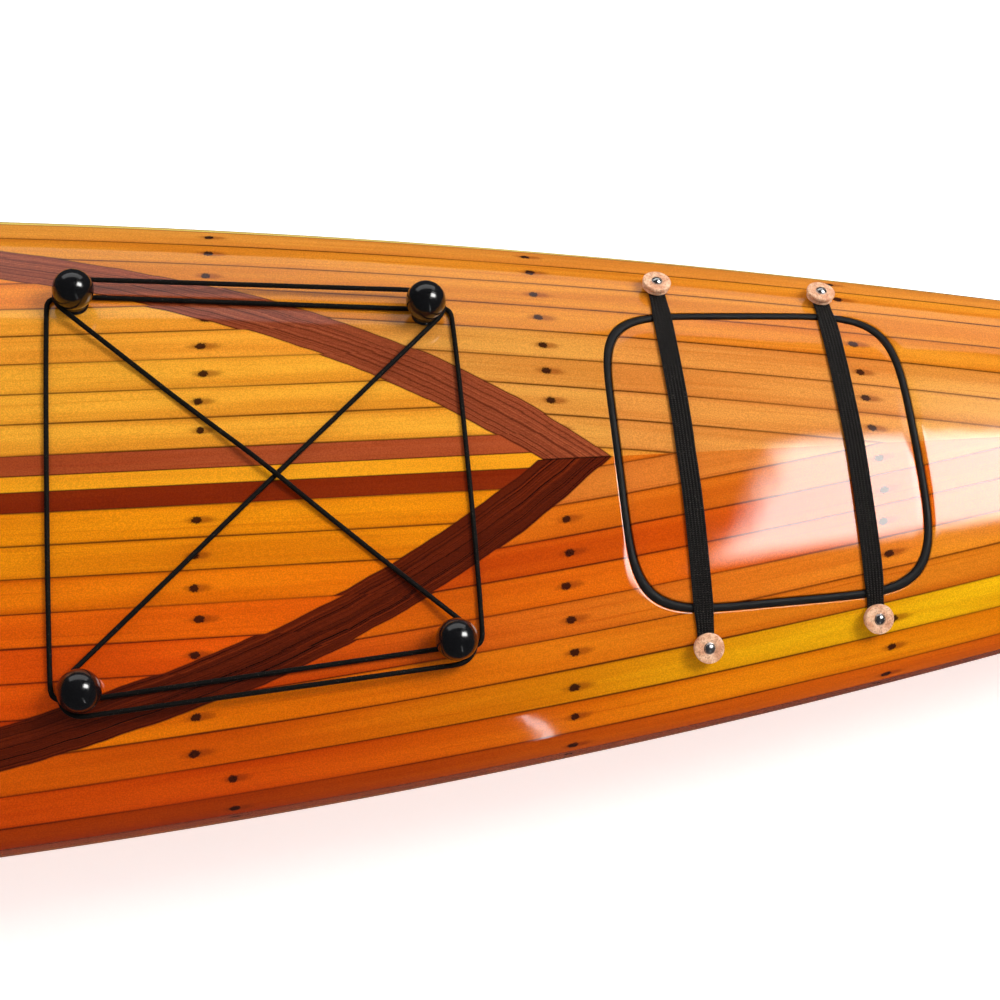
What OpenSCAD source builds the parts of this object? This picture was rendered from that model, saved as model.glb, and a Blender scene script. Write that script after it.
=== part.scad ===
// Strip-built decked canoe (sea kayak) with two strapped hatches, bungee deck rigging,
// a cockpit with seat and foot braces, and a toggle handle at each end.
// Frame: +X towards the bow, +Y to port, +Z up. The origin lies under the middle of the keel.

/* [Hull] */
// Overall length
loa = 4800; // [4700:50:4900]
// Greatest beam, at the sheer
beam = 601; // [590:1:612]
// Height of the sheer above the ground amidships
sheer_mid = 240; // [232:1:248]
// Rise of the sheer from amidships to the ends
sheer_rise = 58; // [50:1:66]
// Extra rise of the last stretch of each end
end_rise = 35; // [25:1:40]
// Crown of the foredeck above the sheer
deck_crown = 79; // [74:1:84]
// Share of that crown on the lower aft deck
aft_share = 0.75; // [0.7:0.01:0.9]
// Thickness of the wood strip planking
plank_t = 6; // [5:0.5:7]
// Thickness of the keel rubbing strip
keel_t = 5; // [4:0.5:6]
// Half-length of the flat, rocker-free stretch of keel
keel_flat = 700; // [500:50:900]

/* [Cockpit] */
// Middle of the cockpit opening along the boat
cockpit_x = -40; // [-60:5:-20]
// Half-length of the cockpit opening
cockpit_a = 420; // [400:5:430]
// Half-width of the cockpit opening
cockpit_w = 212; // [200:1:216]
// Height of the coaming above the deck
coaming_h = 20; // [16:1:24]
// Width of the coaming lip
lip_w = 24; // [18:1:26]

/* [Hatches] */
// Middle of the bow hatch opening
bow_hatch_x = 1270.5; // [1265:0.5:1275]
// Middle of the stern hatch opening
stern_hatch_x = -1080; // [-1100:5:-1060]
// Half-length of a hatch opening
hatch_a = 138.5; // [134:0.5:142]
// Half-width of a hatch opening at its middle
hatch_w = 138.5; // [134:0.5:142]
// Width of the rubber gasket
gasket_w = 6.7; // [6:0.1:7]

/* [Rigging] */
// Diameter of the ball knobs
ball_d = 35; // [33:0.5:36]
// Height of the ball's centre above the deck
ball_h = 22; // [21.5:0.5:24]
// Diameter of the bungee cord
bungee_d = 4.4; // [4:0.1:4.6]
// Width of an elastic hatch strap
strap_w = 17; // [15:0.5:19]
// Thickness of an elastic hatch strap
strap_t = 2.4; // [2:0.1:3]
// Diameter of the wooden strap discs
disc_d = 26; // [22:1:28]

/* [Hidden] */
$fn = 48;

half_len = loa / 2;
half_beam = beam / 2;
glue = 0.2;
clear = 0.6;

// Powers that shape the plan outline, the deck section and the hull sections
plan_p = 2.3;
plan_q = 1.3356;
deck_n = 2.5426;
deck_m = 1.894;
crown_p = 0.1475;
hull_fine = 1.2;
hull_full = 1.3;
nose_r = 8;
kick_x = 1750;
tail_x = 1600;
stem_x = 1950;
rocker = 20;

// The planked shells end at the solid blocks that close the bow and the stern
shell_end = half_len - 138;
shell_steps = 56;
block_steps = 9;
hull_sides = 8;
deck_sides = 12;

BOW = 1;
STERN = -1;
PORT = 1;
STARBOARD = -1;

// ---- Lines of the boat ----
function signed_pow(v, p) = sign(v) * pow(abs(v), p);
function smooth(t) = let (s = min(max(t, 0), 1)) s * s * (3 - 2 * s);
function frac(x) = min(abs(x) / half_len, 1);
function nose(x) = nose_r * sqrt(max(0, 1 - pow(max(0, abs(x) - half_len + nose_r) / nose_r, 2)));
function plan_y(x) = half_beam * pow(1 - pow(frac(x), plan_p), plan_q);
function half_breadth(x) = pow(pow(plan_y(x), 3) + pow(nose(x), 3), 1 / 3);
function kick(x) = end_rise * pow(max(0, abs(x) - kick_x) / (half_len - kick_x), 2);
function sheer_z(x) = sheer_mid + sheer_rise * pow(frac(x), 2.2) + kick(x);
function aft_factor(x) = 1 - (1 - aft_share) * smooth((150 - x) / 600);
function tail(x) = pow(1 - pow(max(0, abs(x) - tail_x) / (half_len - tail_x), 2), 0.6);
function crown(x) = deck_crown * aft_factor(x) * tail(x) * pow(plan_y(x) / half_beam, crown_p);
function keel_base(x) = keel_t + rocker * pow(max(0, abs(x) - keel_flat) / (half_len - keel_flat), 3);
function stem_u(x) = max(0, abs(x) - stem_x) / (half_len - stem_x);
function stem_rise(x) = 1 - pow(1 - pow(stem_u(x), 2.4), 1 / 1.6);
function keel_z(x) = keel_base(x) + (sheer_z(half_len) - keel_base(x)) * stem_rise(x);
function fullness(x) = 1 - pow(frac(x), 2);
function bilge_y(x) = hull_fine + hull_full * fullness(x);
function bilge_z(x) = hull_fine + 0.1 + hull_full * fullness(x);

// Height of the deck's outer face, or of its inner face with inset = plank_t
function deck_z(x, y, inset = 0) = sheer_z(x) + (crown(x) - inset)
    * pow(max(0, 1 - pow(abs(y) / (half_breadth(x) - inset), deck_n)), 1 / deck_m);

// Half-breadth of the hull's inner face at a height
function hull_inner_y(x, z) = let (
        depth = sheer_z(x) - keel_z(x) - plank_t,
        drop = min(1, (sheer_z(x) - z) / depth)
    ) (half_breadth(x) - plank_t) * pow(1 - pow(drop, bilge_z(x)), 1 / bilge_y(x));

function deck_slope_x(x, y) = (deck_z(x + 2, y) - deck_z(x - 2, y)) / 4;
function deck_slope_y(x, y) = (deck_z(x, y + 2) - deck_z(x, y - 2)) / 4;
function deck_normal(x, y) = let (n = [-deck_slope_x(x, y), -deck_slope_y(x, y), 1]) n / norm(n);
function over_deck(x, y, h) = [x, y, deck_z(x, y)] + h * deck_normal(x, y);

// Half sections, from port to starboard: the deck over the top, the hull round the bottom
function deck_points(x, inset) = [
    for (i = [0 : 2 * deck_sides])
        let (a = 90 - 90 * i / deck_sides)
        [
            x,
            (half_breadth(x) - inset) * signed_pow(sin(a), 2 / deck_n),
            sheer_z(x) + (crown(x) - inset) * pow(abs(cos(a)), 2 / deck_m)
        ]
];
function hull_point(x, a, inset, drop = 0) = let (depth = sheer_z(x) - keel_z(x) - inset) [
    x,
    (half_breadth(x) - inset) * signed_pow(cos(a), 2 / bilge_y(x)),
    sheer_z(x) - drop - (depth - drop) * pow(abs(sin(a)), 2 / bilge_z(x))
];
function hull_points(x, inset) = [for (i = [0 : 2 * hull_sides]) hull_point(x, 90 * i / hull_sides, inset)];
function backwards(list) = [for (i = [len(list) - 1 : -1 : 0]) list[i]];

// ---- Lofts ----
// Side faces of a loft between rings of n points each
function loft_sides(rings, n) = [
    for (j = [0 : rings - 2])
        for (i = [0 : n - 1])
            let (a = j * n + i, b = j * n + (i + 1) % n)
            each [[a, b, b + n], [a, b + n, a + n]]
];
function flat_list(rings) = [for (ring = rings) each ring];

// A tube-like solid through rings of points, closed with a flat cap at each end
module solid_loft(rings) {
    n = len(rings[0]);
    last = len(rings) - 1;
    polyhedron(
        points = flat_list(rings),
        faces = concat(
            loft_sides(len(rings), n),
            [[for (i = [n - 1 : -1 : 0]) i]],
            [[for (i = [0 : n - 1]) last * n + i]]
        )
    );
}

// A curved plank skin: each ring is its outer line followed by its inner line backwards
module skin_loft(rings) {
    n = len(rings[0]);
    base = (len(rings) - 1) * n;
    polyhedron(
        points = flat_list(rings),
        faces = concat(
            loft_sides(len(rings), n),
            [for (i = [0 : n / 2 - 2]) each [[i, n - 1 - i, i + 1], [i + 1, n - 1 - i, n - 2 - i]]],
            [
                for (i = [0 : n / 2 - 2])
                    each [
                        [base + i, base + i + 1, base + n - 1 - i],
                        [base + i + 1, base + n - 2 - i, base + n - 1 - i]
                    ]
            ]
        )
    );
}

// A ring-shaped solid: sections of n points that follow a closed line
module hoop(sections) {
    n = len(sections[0]);
    count = len(sections);
    polyhedron(
        points = flat_list(sections),
        faces = [
            for (j = [0 : count - 1])
                for (i = [0 : n - 1])
                    let (
                        a = j * n + i,
                        b = j * n + (i + 1) % n,
                        c = ((j + 1) % count) * n + i,
                        d = ((j + 1) % count) * n + (i + 1) % n
                    )
                    each [[a, b, d], [a, d, c]]
        ]
    );
}

// Evenly spaced stations from one end of a stretch to the other
function stations(from, to, steps) = [for (i = [0 : steps]) from + (to - from) * i / steps];

// Puts children on the deck, with +Z along the deck's normal
module on_deck(x, y) {
    n = deck_normal(x, y);
    translate([x, y, deck_z(x, y)])
        rotate(a = acos(n[2]), v = [-n[1], n[0], 0])
            children();
}

// ---- Planked shells ----
deck_rings = [
    for (x = stations(-shell_end, shell_end, shell_steps))
        concat(backwards(deck_points(x, 0)), deck_points(x, plank_t))
];

// The hull is planked in panels, between seams at these angles round its section from port to starboard
port_sheer_seam = 0;
port_bilge_seam = 28;
port_bottom_seam = 62;
seam_gap = 0.02;

// The bilge and bottom panels are in several lengths, joined end to end at these stations
shell_xs = stations(-shell_end, shell_end, shell_steps);
bilge_joints = [0, 17, 39, 46, shell_steps];
bottom_joints = [0, 9, 47, shell_steps];
function length_xs(first, last) = [
    for (k = [first : last])
        shell_xs[k] + (k == first ? glue / 2 : k == last ? -glue / 2 : 0)
];

module hull_panel(from, to, steps, xs) {
    angles = stations(from + seam_gap, to - seam_gap, steps);
    color("#c8742a")
        skin_loft([
            for (x = xs)
                concat(
                    [for (a = angles) hull_point(x, a, 0, glue)],
                    [for (a = backwards(angles)) hull_point(x, a, plank_t, glue)]
                )
        ]);
}

module hull_side(side) {
    if (side > 0) hull_panel(port_sheer_seam, port_bilge_seam, 3, shell_xs);
    else hull_panel(180 - port_bilge_seam, 180 - port_sheer_seam, 3, shell_xs);
}

module hull_bilges(k) {
    xs = length_xs(bilge_joints[k], bilge_joints[k + 1]);
    hull_panel(port_bilge_seam, port_bottom_seam, 4, xs);
    hull_panel(180 - port_bottom_seam, 180 - port_bilge_seam, 4, xs);
}

module hull_bottom(k) {
    xs = length_xs(bottom_joints[k], bottom_joints[k + 1]);
    hull_panel(port_bottom_seam, 180 - port_bottom_seam, 6, xs);
}

// Cuts an outline down through the deck
cut_below = 30;
cut_height = 200;

module outline_prism(points) {
    translate([0, 0, sheer_mid - cut_below])
        linear_extrude(height = cut_height)
            polygon(points);
}

knob_places = [[680, 167], [980, 145], [980, -151], [680, -173]];
bow_disc_places = [[1195, 168], [1195, -168], [1348, 152], [1348, -152]];
stern_disc_places = [[-1005, 168], [-1005, -168], [-1158, 160], [-1158, -160]];
screw_r = 2;

module screw_holes(places) {
    for (p = places)
        on_deck(p[0], p[1])
            translate([0, 0, -20])
                cylinder(r = screw_r + glue, h = 40, $fn = 16);
}

// The resize to the shell's own length leaves its size as it is
module deck_shell() {
    color("#e2932c")
        resize([2 * shell_end, 0, 0])
            difference() {
                skin_loft(deck_rings);
                outline_prism(cockpit_outline(glue));
                outline_prism(hatch_outline(BOW, 0));
                outline_prism(hatch_outline(STERN, 0));
                screw_holes(knob_places);
                screw_holes(bow_disc_places);
                screw_holes(stern_disc_places);
            }
}

// ---- End blocks ----
eyelet_x = half_len - 100;
eyelet_z = 300;
eyelet_r = 5;
eyelet_wall = 2;
eyelet_len = 32;
flange_r = eyelet_r + 4.5;
flange_t = 1;
cord_hole_x = half_len - 48;
cord_hole_z = 318;
cord_hole_r = 4.5;

function block_ring(x) = concat(
    backwards(deck_points(x, 0)),
    [for (i = [1 : 2 * hull_sides - 1]) hull_points(x, 0)[i]]
);

module cross_bore(x, z, r) {
    translate([x, 0, z])
        rotate([90, 0, 0])
            cylinder(r = r, h = 80, center = true);
}

module end_block(end) {
    near = end * (shell_end + glue);
    far = end * (half_len - 0.4);
    xs = end > 0 ? stations(near, far, block_steps) : stations(far, near, block_steps);
    color("#6b3418")
        difference() {
            solid_loft([for (x = xs) block_ring(x)]);
            cross_bore(end * eyelet_x, eyelet_z, eyelet_r + eyelet_wall + 0.05);
            cross_bore(end * cord_hole_x, cord_hole_z, cord_hole_r);
        }
}

module eyelet(end) {
    color("#c9a24b")
        translate([end * eyelet_x, 0, eyelet_z])
            rotate([90, 0, 0])
                difference() {
                    union() {
                        cylinder(r = eyelet_r + eyelet_wall, h = eyelet_len, center = true);
                        for (side = [PORT, STARBOARD])
                            translate([0, 0, side * (eyelet_len - flange_t) / 2])
                                cylinder(r = flange_r, h = flange_t, center = true);
                    }
                    cylinder(r = eyelet_r, h = eyelet_len + 2, center = true);
                }
}

// ---- Keel rubbing strip ----
keel_strip_w = 24;
keel_strip_end = 1900;

module keel_strip() {
    xs = stations(-keel_strip_end, keel_strip_end, 38);
    color("#5a2c14")
        rotate([90, 0, 0])
            linear_extrude(height = keel_strip_w, center = true)
                polygon(concat(
                    [for (x = xs) [x, keel_z(x) - keel_t]],
                    [for (x = backwards(xs)) [x, keel_z(x) - glue]]
                ));
}

// ---- Bulkheads ----
bow_bulkhead_x = 900;
stern_bulkhead_x = -600;
bulkhead_t = 9;

// The inside of the boat at a station, as a flat outline looking along X
function inside_outline(x) = let (inset = plank_t + clear) [
    for (p = concat(backwards(deck_points(x, inset)), hull_points(x, inset))) [p[1], p[2]]
];

// Extrudes a Y-Z outline along +X from a station
module slab(x, thickness) {
    translate([x, 0, 0])
        rotate([90, 0, 90])
            linear_extrude(height = thickness)
                children();
}

module bulkhead(x) {
    wide_x = abs(x) > abs(x + bulkhead_t) ? x : x + bulkhead_t;
    color("#b9793f")
        slab(x, bulkhead_t)
            intersection() {
                polygon(inside_outline(wide_x));
                polygon(inside_outline(x + bulkhead_t / 2));
            }
}

// ---- Cockpit coaming ----
riser_t = 6;
riser_below = 10;
lip_t = 6;
coaming_steps = 44;

function cockpit_point(a, off) = [
    cockpit_x + (cockpit_a + off) * signed_pow(cos(a), 2 / 2.3),
    (cockpit_w + off) * signed_pow(sin(a), 2 / 2.3) * (1 - 0.1 * cos(a))
];
function cockpit_angles() = [for (i = [0 : coaming_steps - 1]) 360 * (i + 0.5) / coaming_steps];
function cockpit_outline(off) = [for (a = cockpit_angles()) cockpit_point(a, off)];

// One corner of a section that follows an outline, at a height over the deck there
function lifted(p, h) = [p[0], p[1], deck_z(p[0], p[1]) + h];
function ring_section(inner, outer, low, high) = [
    lifted(inner, low), lifted(outer, low), lifted(outer, high), lifted(inner, high)
];

module coaming_riser() {
    color("#8c4a1e")
        hoop([
            for (a = cockpit_angles())
                ring_section(cockpit_point(a, -riser_t), cockpit_point(a, 0), -riser_below, coaming_h)
        ]);
}

module coaming_lip() {
    low = coaming_h + glue;
    color("#5a2c14")
        hoop([
            for (a = cockpit_angles())
                ring_section(cockpit_point(a, -riser_t), cockpit_point(a, lip_w - riser_t), low, low + lip_t)
        ]);
}

// ---- Hatches ----
hatch_power = 5.5;
hatch_taper = 0.032;
hatch_steps = 44;
rim_in = 24;
rim_out = 9;
rim_t = 5;
gasket_r = (gasket_w - 0.5) / 2;
gasket_top = 0.8;
cover_gap = 0.35;

function hatch_mid(end) = end > 0 ? bow_hatch_x : stern_hatch_x;
function hatch_point(end, a, off) = let (
        along = (hatch_a + off) * signed_pow(cos(a), 2 / hatch_power),
        width = hatch_w + off - hatch_taper * along
    ) [hatch_mid(end) + end * along, width * signed_pow(sin(a), 2 / hatch_power)];
// Even steps of angle leave the straight edges long, so the angles crowd towards them
function hatch_angle(i) = let (q = floor(i / 11), s = (i % 11) / 11 * 2 - 1)
    90 * q + 45 + 45 * s * (0.35 + 0.65 * s * s);
function hatch_angles() = [for (i = [0 : hatch_steps - 1]) hatch_angle(i)];
function hatch_outline(end, off) = [for (a = hatch_angles()) hatch_point(end, a, off)];
function rim_z(x, y) = deck_z(x, y, plank_t) - clear;

module hatch_rim(end) {
    color("#7a4420")
        hoop([
            for (a = hatch_angles())
                let (
                    p = hatch_point(end, a, -rim_in),
                    q = hatch_point(end, a, rim_out),
                    pz = rim_z(p[0], p[1]),
                    qz = rim_z(q[0], q[1])
                )
                end > 0
                    ? [[p[0], p[1], pz - rim_t], [q[0], q[1], qz - rim_t], [q[0], q[1], qz], [p[0], p[1], pz]]
                    : [[p[0], p[1], pz], [q[0], q[1], qz], [q[0], q[1], qz - rim_t], [p[0], p[1], pz - rim_t]]
        ]);
}

module hatch_gasket(end) {
    color("#17171a")
        hoop([
            for (a = hatch_angles())
                [
                    for (k = [0 : 7])
                        let (
                            p = hatch_point(end, a, -gasket_w / 2 + gasket_r * cos(45 * k)),
                            mid = hatch_point(end, a, -gasket_w / 2),
                            rise = gasket_r * sin(45 * k) * end
                        )
                        [p[0], p[1], deck_z(mid[0], mid[1]) + gasket_top - gasket_r + rise]
                ]
        ]);
}

// Resizing only meshes the cover with the same facets as the deck around it
module hatch_cover(end) {
    off = -gasket_w - cover_gap;
    color("#d9762f")
        resize([2 * (hatch_a + off), 0, 0])
            intersection() {
                skin_loft(deck_rings);
                outline_prism(hatch_outline(end, off));
            }
}

// A crosswise batten under the cover keeps its curve
batten_w = 18;
batten_low = 10;
batten_high = 0.9;

module hatch_stiffener(end) {
    x = hatch_mid(end);
    half_w = hatch_w - rim_in - 12;
    ys = stations(-half_w, half_w, 12);
    color("#8c4a1e")
        slab(x - batten_w / 2, batten_w)
            polygon(concat(
                [for (y = ys) [y, deck_z(x, y, plank_t) - batten_high]],
                [for (y = backwards(ys)) [y, deck_z(x, y, plank_t) - batten_low]]
            ));
}

// ---- Hatch straps and their discs ----
strap_h = 1.1;
strap_screw_gap = 4;
disc_low_t = 3;
disc_low_d = disc_d - 2;
disc_core_d = disc_d - 9;
disc_high_t = 3.4;
disc_gap = 1.4;

// The strap's half-length stops short of its screw
module strap(x, disc_y) {
    half = disc_y - strap_screw_gap;
    color("#1b1b1d")
        solid_loft([
            for (y = stations(-half, half, 26))
                [
                    [x + strap_w / 2, y, deck_z(x, y) + strap_h],
                    [x + strap_w / 2, y, deck_z(x, y) + strap_h + strap_t],
                    [x - strap_w / 2, y, deck_z(x, y) + strap_h + strap_t],
                    [x - strap_w / 2, y, deck_z(x, y) + strap_h]
                ]
        ]);
}

disc_base = strap_h + strap_t + 0.5;

module strap_disc() {
    difference() {
        union() {
            translate([0, 0, disc_base])
                cylinder(d = disc_low_d, h = disc_low_t);
            translate([0, 0, glue])
                cylinder(r = screw_r + 1.2, h = disc_base);
            translate([0, 0, disc_base])
                cylinder(d = disc_core_d, h = disc_low_t + disc_gap);
            translate([0, 0, disc_base + disc_low_t + disc_gap])
                cylinder(d = disc_d, h = disc_high_t);
        }
        translate([0, 0, -1])
            cylinder(r = screw_r + 0.1, h = 30);
    }
}

disc_top = disc_base + disc_low_t + disc_gap + disc_high_t;

module strap_screw() {
    head_r = 4.6;
    head_h = 2.6;
    depth = 14;
    translate([0, 0, -depth])
        cylinder(r = screw_r, h = disc_top + depth + 0.5);
    translate([0, 0, disc_top + 0.05])
        intersection() {
            translate([0, 0, head_h - 6])
                sphere(r = 6);
            cylinder(r = head_r, h = head_h);
        }
}

module at_places(places) {
    for (p = places)
        on_deck(p[0], p[1])
            children();
}

module strap_discs(places) {
    color("#dcb98a")
        at_places(places)
            strap_disc();
}

module strap_screws(places) {
    color("#c9ccd0")
        at_places(places)
            strap_screw();
}

// ---- Ball knobs ----
neck_r = 10.5;
neck_top = 7.6;
hole_out = 6;
low_cord_h = 2.6;
high_cord_h = 11;
wrap_r = 16.9;
wrap_lean = 2.2;
cord_r = bungee_d / 2;

module knob_ball() {
    difference() {
        sphere(d = ball_d);
        translate([0, 0, -ball_d])
            cylinder(r = screw_r + 0.1, h = ball_d);
        translate([0, 0, neck_top - ball_h - ball_d])
            cylinder(r = neck_r + 4, h = ball_d + glue);
    }
}

module knob_balls() {
    color("#101014")
        at_places(knob_places)
            translate([0, 0, ball_h])
                knob_ball();
}

// The low cord runs fore and aft through the neck, on its outboard side
module knob_neck(outboard) {
    difference() {
        translate([0, 0, glue])
            cylinder(r = neck_r, h = neck_top - glue);
        translate([0, 0, -1])
            cylinder(r = screw_r + 0.1, h = 20);
        translate([0, outboard * hole_out, low_cord_h])
            rotate([0, 90, 0])
                cylinder(r = cord_r + 0.4, h = 40, center = true);
    }
}

module knob_necks() {
    color("#101014")
        for (p = knob_places)
            on_deck(p[0], p[1])
                knob_neck(sign(p[1]));
}

module knob_screw() {
    translate([0, 0, -12])
        cylinder(r = screw_r, h = 12 + ball_h - 4);
    translate([0, 0, -plank_t - 3.6])
        cylinder(r = 5, h = 2.6, $fn = 6);
}

module knob_screws() {
    color("#9fa3a8")
        at_places(knob_places)
            knob_screw();
}

// ---- Bungee cords ----
cord_sides = 8;

// A ring of points round a cord at one point of its route
function cord_ring(p, ahead, r) = let (
        side = cross(ahead, [0, 0, 1]) / norm(cross(ahead, [0, 0, 1])),
        up = cross(side, ahead) / norm(cross(side, ahead))
    ) [
        for (k = [0 : cord_sides - 1])
            let (a = 360 * k / cord_sides)
            p + r * (cos(a) * side + sin(a) * up)
    ];

// A closed loop of cord along its points
module cord_loop(route) {
    n = len(route);
    hoop([
        for (i = [0 : n - 1])
            cord_ring(route[i], route[(i + 1) % n] - route[(i + n - 1) % n], cord_r)
    ]);
}

// Points between two ends of a taut run, pressed up where the crowned deck is in the way
function taut_run(from, to, steps, over) = [
    for (i = [1 : steps - 1])
        let (
            p = from + (to - from) * i / steps,
            hump = over * exp(-pow((i / steps - 0.5) * 9, 2))
        )
        [p[0], p[1], max(p[2], deck_z(p[0], p[1]) + cord_r + 0.3 + hump)]
];

// The wrap under the flank of a ball, from one bearing to another, about the ball's leaning axis
function wrap(place, from_a, to_a) = let (axis_y = place[1] + sign(place[1]) * wrap_lean) [
    for (i = [0 : 7])
        let (a = from_a + (to_a - from_a) * i / 7)
        over_deck(place[0] + wrap_r * cos(a), axis_y + wrap_r * sin(a), high_cord_h)
];
function turned(list, end, steps, over) = concat(list, taut_run(list[len(list) - 1], end, steps, over));

PORT_AFT = knob_places[0];
PORT_FORE = knob_places[1];
STBD_FORE = knob_places[2];
STBD_AFT = knob_places[3];

wrap_port_aft = wrap(PORT_AFT, 222, 93);
wrap_port_fore = wrap(PORT_FORE, 87, -42);
wrap_stbd_aft = wrap(STBD_AFT, 138, 267);
wrap_stbd_fore = wrap(STBD_FORE, 273, 402);

module bungee_cross() {
    color("#141416")
        cord_loop(concat(
            turned(wrap_port_aft, wrap_port_fore[0], 5, 0),
            turned(wrap_port_fore, wrap_stbd_aft[0], 18, 0),
            turned(wrap_stbd_aft, wrap_stbd_fore[0], 5, 0),
            turned(wrap_stbd_fore, wrap_port_aft[0], 18, 2 * cord_r + 0.5)
        ));
}

// Where the low cord leaves a knob and turns to cross the deck
turn_out = 24;
turn_r = 7;
function corner(place, fore, inboard) = [place[0] + fore * turn_out, place[1] - inboard * hole_out];
function low_point(p) = over_deck(p[0], p[1], low_cord_h);
function bend(c, fore, inboard) = [
    for (a = [0, 30, 60, 90])
        low_point([c[0] - fore * turn_r * (1 - sin(a)), c[1] + inboard * turn_r * (1 - cos(a))])
];
function low_run(place, inboard) = [
    for (s = [-1, 0, 1])
        let (local = low_point([place[0], place[1] - inboard * hole_out]))
        local + s * (neck_r + 1) * [1, 0, deck_slope_x(place[0], place[1])]
];
function side_run(aft, fore, inboard) = concat(
    backwards(bend(corner(aft, -1, inboard), -1, inboard)),
    low_run(aft, inboard),
    taut_run(low_run(aft, inboard)[2], low_run(fore, inboard)[0], 4, 0),
    low_run(fore, inboard),
    bend(corner(fore, 1, inboard), 1, inboard)
);

port_side = side_run(PORT_AFT, PORT_FORE, -1);
stbd_side = backwards(side_run(STBD_AFT, STBD_FORE, 1));

module bungee_square() {
    color("#141416")
        cord_loop(concat(
            turned(port_side, stbd_side[0], 16, 0),
            turned(stbd_side, port_side[0], 16, 0)
        ));
}

// ---- Seat ----
bearer_xs = [-345, -90];
bearer_t = 14;
bearer_top = 42;
seat_half_w = 165;
pan_t = 6;
pan_from = -400;
pan_to = -40;
cushion_from = -330;
cushion_to = -55;
cushion_t = 30;
cushion_half_w = 155;
pan_top = bearer_top + glue + pan_t;

module seat_bearers() {
    color("#b9793f")
        for (x = bearer_xs)
            slab(x, bearer_t)
                intersection() {
                    polygon(inside_outline(x + bearer_t / 2));
                    translate([-200, 0])
                        square([400, bearer_top]);
                }
}

module seat_pan() {
    front_r = 14;
    color("#c98b4a")
        rotate([90, 0, 0])
            linear_extrude(height = 2 * seat_half_w, center = true)
                union() {
                    translate([pan_from, bearer_top + glue])
                        square([pan_to - pan_from, pan_t]);
                    translate([pan_to, pan_top - front_r])
                        intersection() {
                            difference() {
                                circle(r = front_r);
                                circle(r = front_r - pan_t);
                            }
                            square(front_r);
                        }
                }
}

module rounded_block(size, r) {
    linear_extrude(height = size[2])
        union() {
            translate([r, 0])
                square([size[0] - 2 * r, size[1]]);
            translate([0, r])
                square([size[0], size[1] - 2 * r]);
            for (x = [r, size[0] - r])
                for (y = [r, size[1] - r])
                    translate([x, y])
                        circle(r = r);
        }
}

module seat_cushion() {
    color("#2c2c30")
        translate([cushion_from, -cushion_half_w, pan_top + 0.4])
            rounded_block([cushion_to - cushion_from, 2 * cushion_half_w, cushion_t], 40);
}

// ---- Backrest ----
pin_x = -378;
pin_z = 96;
pin_r = 4;
lug_t = 6;
lug_y = 146;
lean = 12;
board_h = 165;
board_t = 8;
board_half_w = 140;
pad_t = 22;
knuckle_r = 9;

module backrest_lugs() {
    color("#c9ccd0")
        for (side = [PORT, STARBOARD])
            translate([pin_x, side * (lug_y + lug_t / 2) + lug_t / 2, 0])
                rotate([90, 0, 0])
                    linear_extrude(height = lug_t)
                        difference() {
                            union() {
                                translate([-11, pan_top + glue])
                                    square([22, pin_z - pan_top]);
                                translate([0, pin_z])
                                    circle(r = 11);
                            }
                            translate([0, pin_z])
                                circle(r = pin_r + 0.02);
                        }
}

module backrest_pin() {
    color("#9fa3a8")
        translate([pin_x, 0, pin_z])
            rotate([90, 0, 0])
                union() {
                    cylinder(r = pin_r, h = 2 * (lug_y + lug_t) + 6, center = true);
                    for (side = [PORT, STARBOARD])
                        translate([0, 0, side * (lug_y + lug_t + 2.5)])
                            cylinder(r = 7, h = 3, center = true);
                }
}

module leaning() {
    translate([pin_x, 0, pin_z])
        rotate([0, -lean, 0])
            children();
}

module backrest_board() {
    color("#c98b4a")
        leaning()
            difference() {
                union() {
                    rotate([90, 0, 0])
                        cylinder(r = knuckle_r, h = 2 * board_half_w, center = true);
                    translate([board_t / 2, -board_half_w, 0])
                        rotate([0, -90, 0])
                            rounded_block([board_h, 2 * board_half_w, board_t], 4);
                }
                rotate([90, 0, 0])
                    cylinder(r = pin_r + 0.05, h = 2 * board_half_w + 2, center = true);
            }
}

module backrest_pad() {
    color("#2c2c30")
        leaning()
            translate([board_t / 2 + 0.4 + pad_t, -board_half_w, 14])
                rotate([0, -90, 0])
                    rounded_block([board_h - 16, 2 * board_half_w, pad_t], 30);
}

// ---- Foot braces ----
rail_from = 400;
rail_to = 760;
rail_y = 213;
rail_z = 120;
rail_t = 6;
rail_h = 26;
pedal_x = 580;
carriage_l = 50;
carriage_t = 16;
carriage_h = 42;
run_gap = 0.4;
stud_xs = [414, 746];
stud_r = 5;

module foot_rail(side) {
    color("#b4b7ba")
        translate([rail_from, side * rail_y - rail_t / 2, rail_z - rail_h / 2])
            difference() {
                cube([rail_to - rail_from, rail_t, rail_h]);
                for (x = [60 : 20 : 300])
                    translate([x, rail_t / 2, rail_h / 2])
                        rotate([90, 0, 0])
                            cylinder(r = 3, h = 20, center = true);
            }
}

module rail_studs(side) {
    color("#9fa3a8")
        for (x = stud_xs) {
            reach = hull_inner_y(x, rail_z - stud_r) - 1.6 - rail_y - rail_t / 2;
            translate([x, side * (rail_y + rail_t / 2 + glue + (reach - glue) / 2), rail_z])
                rotate([90, 0, 0])
                    cylinder(r = stud_r, h = reach - glue, center = true);
        }
}

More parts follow.
